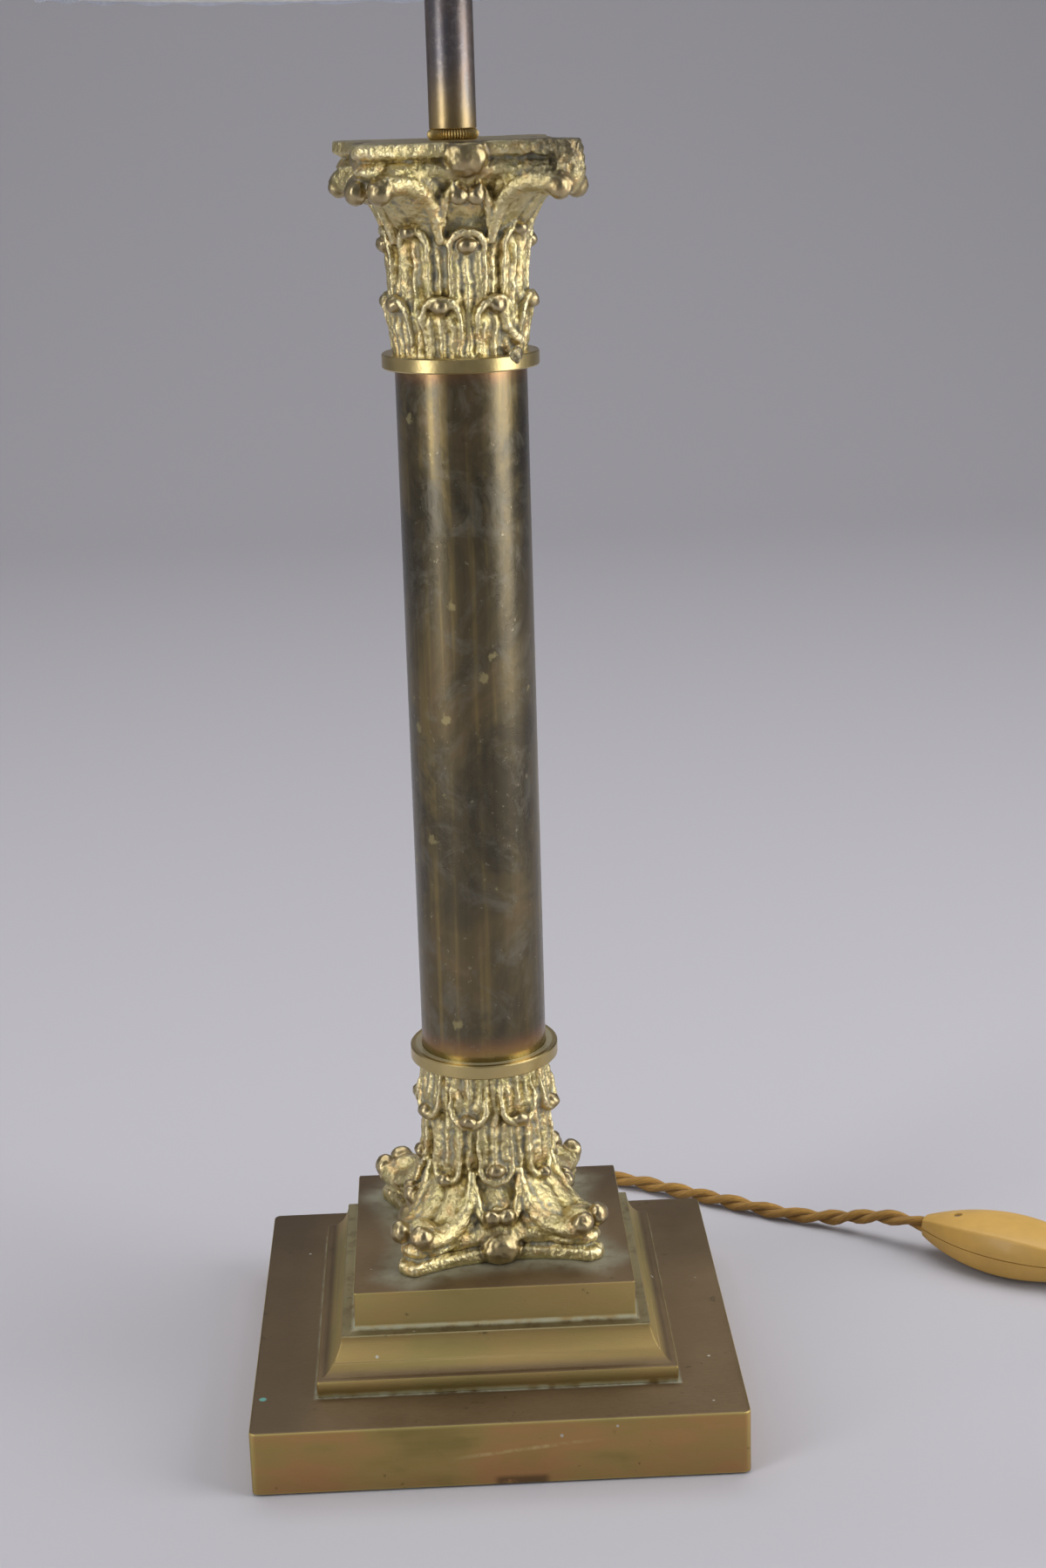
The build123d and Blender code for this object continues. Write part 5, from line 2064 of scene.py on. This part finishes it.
@dataclass
class Flex:
    """The twisted silk cord: its route, its strands, and what is on it."""

    shop: PaintShop
    exit_height: float = 0.009
    rest: float = 0.003
    pitch: float = 0.0255
    strand: float = 0.00160
    offset: float = 0.00122
    sides: int = 21
    diameter: float = 0.0062
    point_gap: float = 0.0011
    switch_middle: Triple = (0.1865, 0.0509, 0.0098)
    switch_heading: float = -36.0
    switch_half: float = 0.033
    plug_height: float = 0.00685
    coil_centre: Pair = (0.2636, -0.0282)
    coil_radius: float = 0.045
    coil_pitch: float = 0.0088
    coil_rise: float = 0.0074
    half_turns: int = 6
    per_half_turn: int = 9

    def along_switch(self, distance: float) -> Triple:
        """Finds a point on the switch's long axis.

        Args:
            distance: How far it is from the switch's middle.

        Returns:
            The point.
        """
        a = math.radians(self.switch_heading)
        x, y, z = self.switch_middle
        return (x + distance * math.cos(a), y + distance * math.sin(a), z)

    def lead(self) -> list[Triple]:
        """Leads from the bush in the base to the switch.

        Returns:
            Points along it.
        """
        z = self.rest
        return [(0, 0.079, self.exit_height), (0, 0.092, self.exit_height), (0.001, 0.110, 0.005),
                (0.008, 0.126, z), (0.022, 0.138, z), (0.040, 0.1415, z), (0.057, 0.1345, z),
                (0.073, 0.1238, z), (0.091, 0.1126, z), (0.110, 0.0998, z), (0.127, 0.0922, 0.0036),
                (0.141, 0.084, 0.0076), self.along_switch(-0.045), self.along_switch(-self.switch_half)]

    def tail(self) -> list[Triple]:
        """Leads from the switch to the coil.

        Returns:
            Points along it.
        """
        return [self.along_switch(self.switch_half), self.along_switch(0.0415), (0.2286, 0.0206, 0.0062),
                (0.238, 0.0172, 0.0038), (0.2484, 0.0168, self.rest), (0.2576, 0.0168, self.rest)]

    def coil(self) -> list[Triple]:
        """Lays the put-away length: in along the floor, up a layer at the inside, and out again on top.

        Returns:
            Points along it.
        """
        points = []
        total = 2 * self.half_turns + 1
        for i in range(total * self.per_half_turn + 1):
            turns = i / self.per_half_turn
            climb = min(max(turns - self.half_turns, 0.0), 1.0)
            inward = min(turns, total - turns, self.half_turns)
            radius = self.coil_radius - self.coil_pitch / 2 * inward
            angle = math.pi / 2 - math.pi * turns
            points.append((self.coil_centre[0] + radius * math.cos(angle),
                           self.coil_centre[1] + radius * math.sin(angle),
                           self.rest + self.coil_rise * climb))
        return points

    def plug_lead(self) -> list[Triple]:
        """Leads from the top of the coil to the plug.

        Returns:
            Points along it.
        """
        y, top, end = self.coil_centre[1] - self.coil_radius, self.rest + self.coil_rise, self.plug_height
        return [(0.2576, y, top), (0.2486, y, top), (0.2386, y - 0.0024, 0.0084), (0.2296, y - 0.008, end),
                (0.2234, y - 0.0172, end), (0.2186, y - 0.0255, end)]

    def centreline(self) -> Array:
        """Reads the cord's smooth line back from a spline through its route.

        Returns:
            Points along the line, evenly spaced.
        """
        curve = smooth_line("route", self.lead() + self.tail() + self.coil() + self.plug_lead(), 12)
        bpy.context.view_layer.update()
        line = bpy.data.meshes.new_from_object(curve)
        points = np.array([v.co for v in line.vertices])
        bpy.data.objects.remove(curve)
        steps = np.linalg.norm(np.diff(points, axis=0), axis=1)
        along = np.concatenate([[0.0], np.cumsum(steps)])
        even = np.linspace(0, along[-1], int(along[-1] / self.point_gap))
        return np.stack([np.interp(even, along, points[:, i]) for i in range(3)], axis=1)

    def strands(self, line: Array) -> Object:
        """Twists both strands round each other along the line.

        Args:
            line: Evenly spaced points of the cord's centreline.

        Returns:
            The cord as one mesh.
        """
        ahead = np.gradient(line, axis=0)
        ahead /= np.linalg.norm(ahead, axis=1)[:, None]
        side = np.cross(ahead, [0.0, 0.0, 1.0])
        side /= np.linalg.norm(side, axis=1)[:, None]
        above = np.cross(side, ahead)
        distance = np.arange(len(line)) * np.linalg.norm(line[1] - line[0])
        around = np.linspace(0, 2 * np.pi, self.sides, endpoint=False)
        loose = 1 + 0.04 * np.sin(distance * 310) + 0.02 * np.sin(distance * 743 + 1)
        points, faces = [], []
        for strand in range(2):
            twist = 2 * np.pi * distance / self.pitch + math.pi * strand + 0.25 * np.sin(distance * 97)
            out = np.cos(twist)[:, None] * side + np.sin(twist)[:, None] * above
            across = -np.sin(twist)[:, None] * side + np.cos(twist)[:, None] * above
            centre = line + out * self.offset
            lobes = 0.99 + 0.05 * np.cos(7 * around[None, :] + distance[:, None] * 260 + strand)
            radius = self.strand * loose[:, None] * lobes
            ring = (centre[:, None, :] + radius[:, :, None] * (np.cos(around)[None, :, None] * out[:, None, :]
                    + np.sin(around)[None, :, None] * across[:, None, :]))
            points.append(ring.reshape(-1, 3))
            faces += self._skin(len(line) * self.sides * strand, len(line))
        cord = mesh_object("cord", np.concatenate(points), faces=faces)
        mend(cord, 1e-9)
        # Stores the side of each strand that faces the groove, where the silk's finish paints shade.
        mark(cord, "hollow", np.tile(np.clip(-np.cos(around), 0, 1) ** 1.5, 2 * len(line)))
        lay_map = np.stack(np.meshgrid(around / (2 * np.pi), distance * 12), axis=-1).reshape(-1, 2)
        unwrap(cord, "lay", np.concatenate([lay_map, lay_map]))
        return shade(cord, 70)

    def _skin(self, start: int, rings: int) -> list[tuple[int, ...]]:
        """Closes a strand's rings of points into a tube.

        Args:
            start: Number of the strand's first point.
            rings: How many rings it has.

        Returns:
            The faces, with both ends' last.
        """
        sides = self.sides
        faces = []
        for a in range(start, start + (rings - 1) * sides, sides):
            b = a + sides
            faces += [(a + j, a + (j + 1) % sides, b + (j + 1) % sides, b + j) for j in range(sides)]
        last = start + (rings - 1) * sides
        return [*faces, tuple(reversed(range(start, start + sides))), tuple(range(last, last + sides))]

    def build(self, on_it: Sequence[Object | str]) -> None:
        """Args:
            on_it: The pieces on the cord. Not used.
        """
        line = self.centreline()
        cord = self.strands(line)
        self.shop.piece(cord, "cord_silk", Body.LAMP, "cord_lead", "cord_tail", "cord_coil", "plug_lead")


# ---------------------------------------------------------------- switch and plug

@dataclass
class Switch:
    """The inline switch: two moulded shells, pointed at both ends."""

    shop: PaintShop
    flex: Flex
    wide: float = 0.013
    high: float = 0.009
    tip: float = 0.0036
    seam: float = 0.00016
    wall: float = 0.0015
    shoulder: float = 0.625
    shoulder_out: float = 0.84
    shoulder_drop: float = 0.17
    screw_at: float = -0.0204
    screw_radius: float = 0.00155
    mouth: Triple = (0.0248, 0.0112, 0.010)

    def bow(self, x: Array, middle: float) -> Array:
        """Works out the half width of the pointed oval.

        Args:
            x: Distances along it from its middle.
            middle: Half width at its middle.

        Returns:
            The half width at each distance.
        """
        rise = middle - self.tip
        radius = (self.flex.switch_half ** 2 + rise ** 2) / (2 * rise)
        return middle - radius + np.sqrt(np.maximum(radius ** 2 - x ** 2, 0))

    def shell(self, name: str, up: bool) -> Object:
        """Moulds one half shell, from a grid bent over the form and given its wall.

        Args:
            name: The piece's name.
            up: Whether it is the upper shell.

        Returns:
            The shell in the switch's own frame.
        """
        obj, points = sheet_of(name, 2, 64, 44)
        x = points[:, 0] * self.flex.switch_half
        wide, high = self.bow(x, self.wide), self.bow(x, self.high)
        share = np.abs(points[:, 1]) / self.shoulder
        past = np.clip((share - 1) / (1 / self.shoulder - 1), 0, 1)
        out_at, drop = self.shoulder_out, self.shoulder_drop
        out = np.where(share < 1, out_at * share, out_at + (1 - out_at) * np.sin(past * np.pi / 2))
        rise = np.where(share < 1, 1 - drop * share ** 2, (1 - drop) * (1 - past))
        y, z = np.sign(points[:, 1]) * out * wide, rise * (high - self.seam) + self.seam
        put(obj, np.stack([x, y, z if up else -z], axis=1))
        self.close_ends(obj)
        finish_modifier(obj, "SOLIDIFY", thickness=self.wall, offset=-1.0, use_even_offset=False)
        return obj

    @staticmethod
    def close_ends(obj: Object) -> None:
        """Fills the flat tips of a shell, leaving its long rim open.

        Args:
            obj: The shell's skin.
        """
        with editing(obj, False):
            bpy.ops.mesh.select_mode(type="VERT")
            bpy.ops.mesh.select_all(action="DESELECT")
        for end in (-1, 1):
            limit = max(v.co.x * end for v in obj.data.vertices)
            for vertex in obj.data.vertices:
                vertex.select = vertex.co.x * end > limit - 1e-5
            with editing(obj, False):
                bpy.ops.mesh.edge_face_add()
                bpy.ops.mesh.select_all(action="DESELECT")
        with editing(obj):
            bpy.ops.mesh.normals_make_consistent(inside=False)

    def build(self) -> list[Object]:
        """Builds both shells, with a hole for the screw and a mouth for the rocker.

        Returns:
            The pieces.
        """
        upper = self.shell("switch_upper_shell", True)
        low, high = 0.004, 0.012
        hole = turned("hole", [(0, low), (self.screw_radius, low), (self.screw_radius, high), (0, high)], 32)
        cut(upper, lay(hole, (self.screw_at, 0, 0), 0))
        lower = self.shell("switch_lower_shell", False)
        cut(lower, block("mouth", self.mouth, (0, 0, -self.high)))
        made = []
        for shell, node in ((upper, "switch_back_shell"), (lower, "switch_front_shell")):
            shade(lay(shell, self.flex.switch_middle, self.flex.switch_heading), 38)
            made.append(self.shop.piece(shell, "gold_plastic", Body.LAMP, node))
        return made


@dataclass
class Plug:
    """Flat two-pin plug with a waisted grip."""

    shop: PaintShop
    place_at: Triple = (0.2186, -0.0987, 0.00685)
    heading: float = 240.0
    length: float = 0.035
    neck: float = 0.0041
    half: float = 0.013
    half_thick: float = 0.00685
    rib: float = 0.0004
    rib_pitch: float = 0.0026
    grip: Pair = (0.013, 0.026)

    def build(self) -> list[Object]:
        """Builds the body.

        Returns:
            The body.
        """
        bpy.ops.mesh.primitive_cube_add(size=2)
        body = bpy.context.object
        body.name = "plug"
        with editing(body):
            bpy.ops.mesh.subdivide(number_cuts=28)
        points = corners(body)
        x = (points[:, 0] + 1) / 2 * self.length
        half = self.neck + (self.half - self.neck) * ease((x - 0.002) / 0.010)
        thick = self.half_thick * (0.62 + 0.38 * ease(x / 0.009))
        round_y, round_z = self.squircle(points[:, 1], points[:, 2])
        start, end = self.grip
        ribs = self.rib * np.cos(2 * np.pi * (x - start - 0.001) / self.rib_pitch)
        ribs = ribs * ease((x - start) / 0.001) * ease((end - x) / 0.001)
        put(body, np.stack([x, round_y * (half - self.rib + ribs), round_z * thick], axis=1))
        mend(lay(body, self.place_at, self.heading))
        return [self.shop.piece(shade(body, 40), "gold_plastic", Body.LAMP, "plug_body")]

    @staticmethod
    def squircle(y: Array, z: Array, power: float = 5.0) -> tuple[Array, Array]:
        """Rounds the corners of a square section.

        Args:
            y: Places across it.
            z: Places up it.
            power: How square it stays.

        Returns:
            The rounded places.
        """
        size = np.maximum(np.abs(y), np.abs(z))
        norm = (np.abs(y) ** power + np.abs(z) ** power) ** (1 / power)
        share = np.where(norm > 0, size / np.maximum(norm, 1e-9), 1.0)
        return y * share, z * share


# ---------------------------------------------------------------- studio

@dataclass(frozen=True)
class SoftLight:
    """A soft rectangular light turned towards the lamp's middle."""

    name: str
    place: Triple
    size: Pair
    power: float
    aim: Triple = (0, 0, 0.22)

    def hang(self) -> None:
        """Hangs the light in the scene."""
        data = bpy.data.lights.new(self.name, "AREA")
        data.shape, data.size, data.size_y, data.energy = "RECTANGLE", *self.size, self.power
        obj = new_object(self.name, data)
        obj.location = self.place
        obj.rotation_euler = (Vector(self.aim) - Vector(self.place)).to_track_quat("-Z", "Y").to_euler()


@dataclass
class Studio:
    """Camera, floor, lights and surroundings."""

    camera_at: Triple = (-0.010695, -0.766105, 0.417752)
    look: Triple = (0.03234834, 0.9621673, -0.27053221)
    above: Triple = (0.03802472, 0.26929317, 0.96230728)
    lens: float = 57.911
    sensor: float = 36.0
    floor_colour: Triple = (0.43, 0.42, 0.45)
    seen_surround: Triple = (0.02, 0.02, 0.02)
    surround: Triple = (0.50, 0.50, 0.52)
    surround_from: Pair = (-0.75, 0.16)
    surround_to: Pair = (0.55, 1.0)
    floor_front: float = 3.0
    floor_depth: float = 4.6
    floor_half: float = 4.0
    sweep: float = 0.9
    wall_height: float = 1.6
    lights: tuple[SoftLight, ...] = (
        SoftLight("key", (-1.16, -0.86, 0.75), (0.5, 1.5), 13.5),
        SoftLight("fill", (1.15, -0.42, 0.65), (0.80, 1.4), 16),
        SoftLight("overhead", (0.0, 0.5, 2.2), (2.4, 2.0), 34),
    )

    def build(self) -> None:
        """Sets up the whole studio."""
        self.camera()
        self.floor()
        for light in self.lights:
            light.hang()
        self.world()
        bpy.context.scene.view_settings.view_transform = "Standard"

    def camera(self) -> None:
        """Sets the camera where and how the photograph was taken."""
        data = bpy.data.cameras.new("camera")
        data.sensor_width, data.lens = self.sensor, self.lens
        data.clip_start, data.clip_end = 0.01, 50
        obj = new_object("camera", data)
        look, above = Vector(self.look).normalized(), Vector(self.above).normalized()
        turn = Matrix((look.cross(above), above, -look)).transposed()
        obj.matrix_world = Matrix.Translation(self.camera_at) @ turn.to_4x4()
        bpy.context.scene.camera = obj

    def floor(self) -> None:
        """Lays a plain floor that sweeps up into a plain background."""
        floor, points = sheet_of("floor", 2, 2, 120)
        along = (points[:, 1] + 1) / 2 * (self.floor_depth + 2.0 * self.wall_height)
        bend = np.clip((along - self.floor_depth) / self.sweep, 0, math.pi / 2)
        beyond = np.clip(along - self.floor_depth - self.sweep * math.pi / 2, 0, None)
        flat = np.minimum(along, self.floor_depth) - self.floor_front
        put(floor, np.stack([points[:, 0] * self.floor_half, flat + self.sweep * np.sin(bend),
                             self.sweep * (1 - np.cos(bend)) + beyond], axis=1))
        recipe = Recipe("floor")
        colour = recipe.blend(recipe.grain(3, 2) * 0.2, self.floor_colour, times(0.94, self.floor_colour))
        floor.data.materials.append(recipe.surface(colour, 0.85))
        shade(floor, 30)

    def world(self) -> None:
        """Surrounds the studio plainly: pale behind the lamp, dim behind the camera."""
        world = bpy.data.worlds.new("studio")
        bpy.context.scene.world = world
        world.use_nodes = True
        nodes, links = world.node_tree.nodes, world.node_tree.links
        nodes.clear()
        output, shader, path, where, split, ramp, seen, mix = (nodes.new(f"ShaderNode{kind}") for kind in (
            "OutputWorld", "Background", "LightPath", "TexCoord", "SeparateXYZ", "MapRange", "Math", "Mix"))
        seen.operation, mix.data_type = "MAXIMUM", "RGBA"
        settings = (self.surround_from[0], self.surround_to[0], self.surround_from[1], self.surround_to[1])
        for socket, value in zip(ramp.inputs[1:5], settings):
            socket.default_value = value
        mix.inputs[6].default_value = (*self.seen_surround, 1.0)
        mix.inputs[7].default_value = (*self.surround, 1.0)
        for start, end in (
                (where.outputs["Generated"], split.inputs[0]), (split.outputs["Y"], ramp.inputs[0]),
                (path.outputs["Is Camera Ray"], seen.inputs[0]), (ramp.outputs[0], seen.inputs[1]),
                (seen.outputs[0], mix.inputs[0]), (mix.outputs[2], shader.inputs["Color"]),
                (shader.outputs[0], output.inputs["Surface"])):
            links.new(start, end)


# ---------------------------------------------------------------- the whole lamp

def dress_nodes(frame: dict[str, Any], shop: PaintShop) -> None:
    """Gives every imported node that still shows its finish.

    Args:
        frame: The loaded frame.
        shop: Where the finishes come from.
    """
    for row in frame["record"]["subparts"]:
        shop.coat(frame["nodes"][row["node"]], row["material_slot"])


def main() -> None:
    """Builds the lamp over its frame and sets up the studio."""
    logging.basicConfig(level=logging.INFO, format="%(message)s")
    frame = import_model()
    shop = PaintShop()
    dress_nodes(frame, shop)
    Studio().build()
    flex = Flex(shop)
    on_cord = [*Switch(shop, flex).build(), *Plug(shop).build()]
    names = ("switch_rocker", "switch_screw", "rocker_pin", "pin_sleeves", "plug_pins", "switch_terminals")
    flex.build([*on_cord, *names])
    Base(shop).build()
    pattern = Casting()
    CastingSetting("lower_casting", "lower_capital", True, 6, 1.0).place(pattern, shop)
    CastingSetting("upper_casting", "upper_capital", False, 7, 14.0, upper_faults).place(pattern, shop)
    Column(shop).build()
    Lampholder(shop).build()
    Shade(shop).build()


if __name__ == "__main__":
    main()
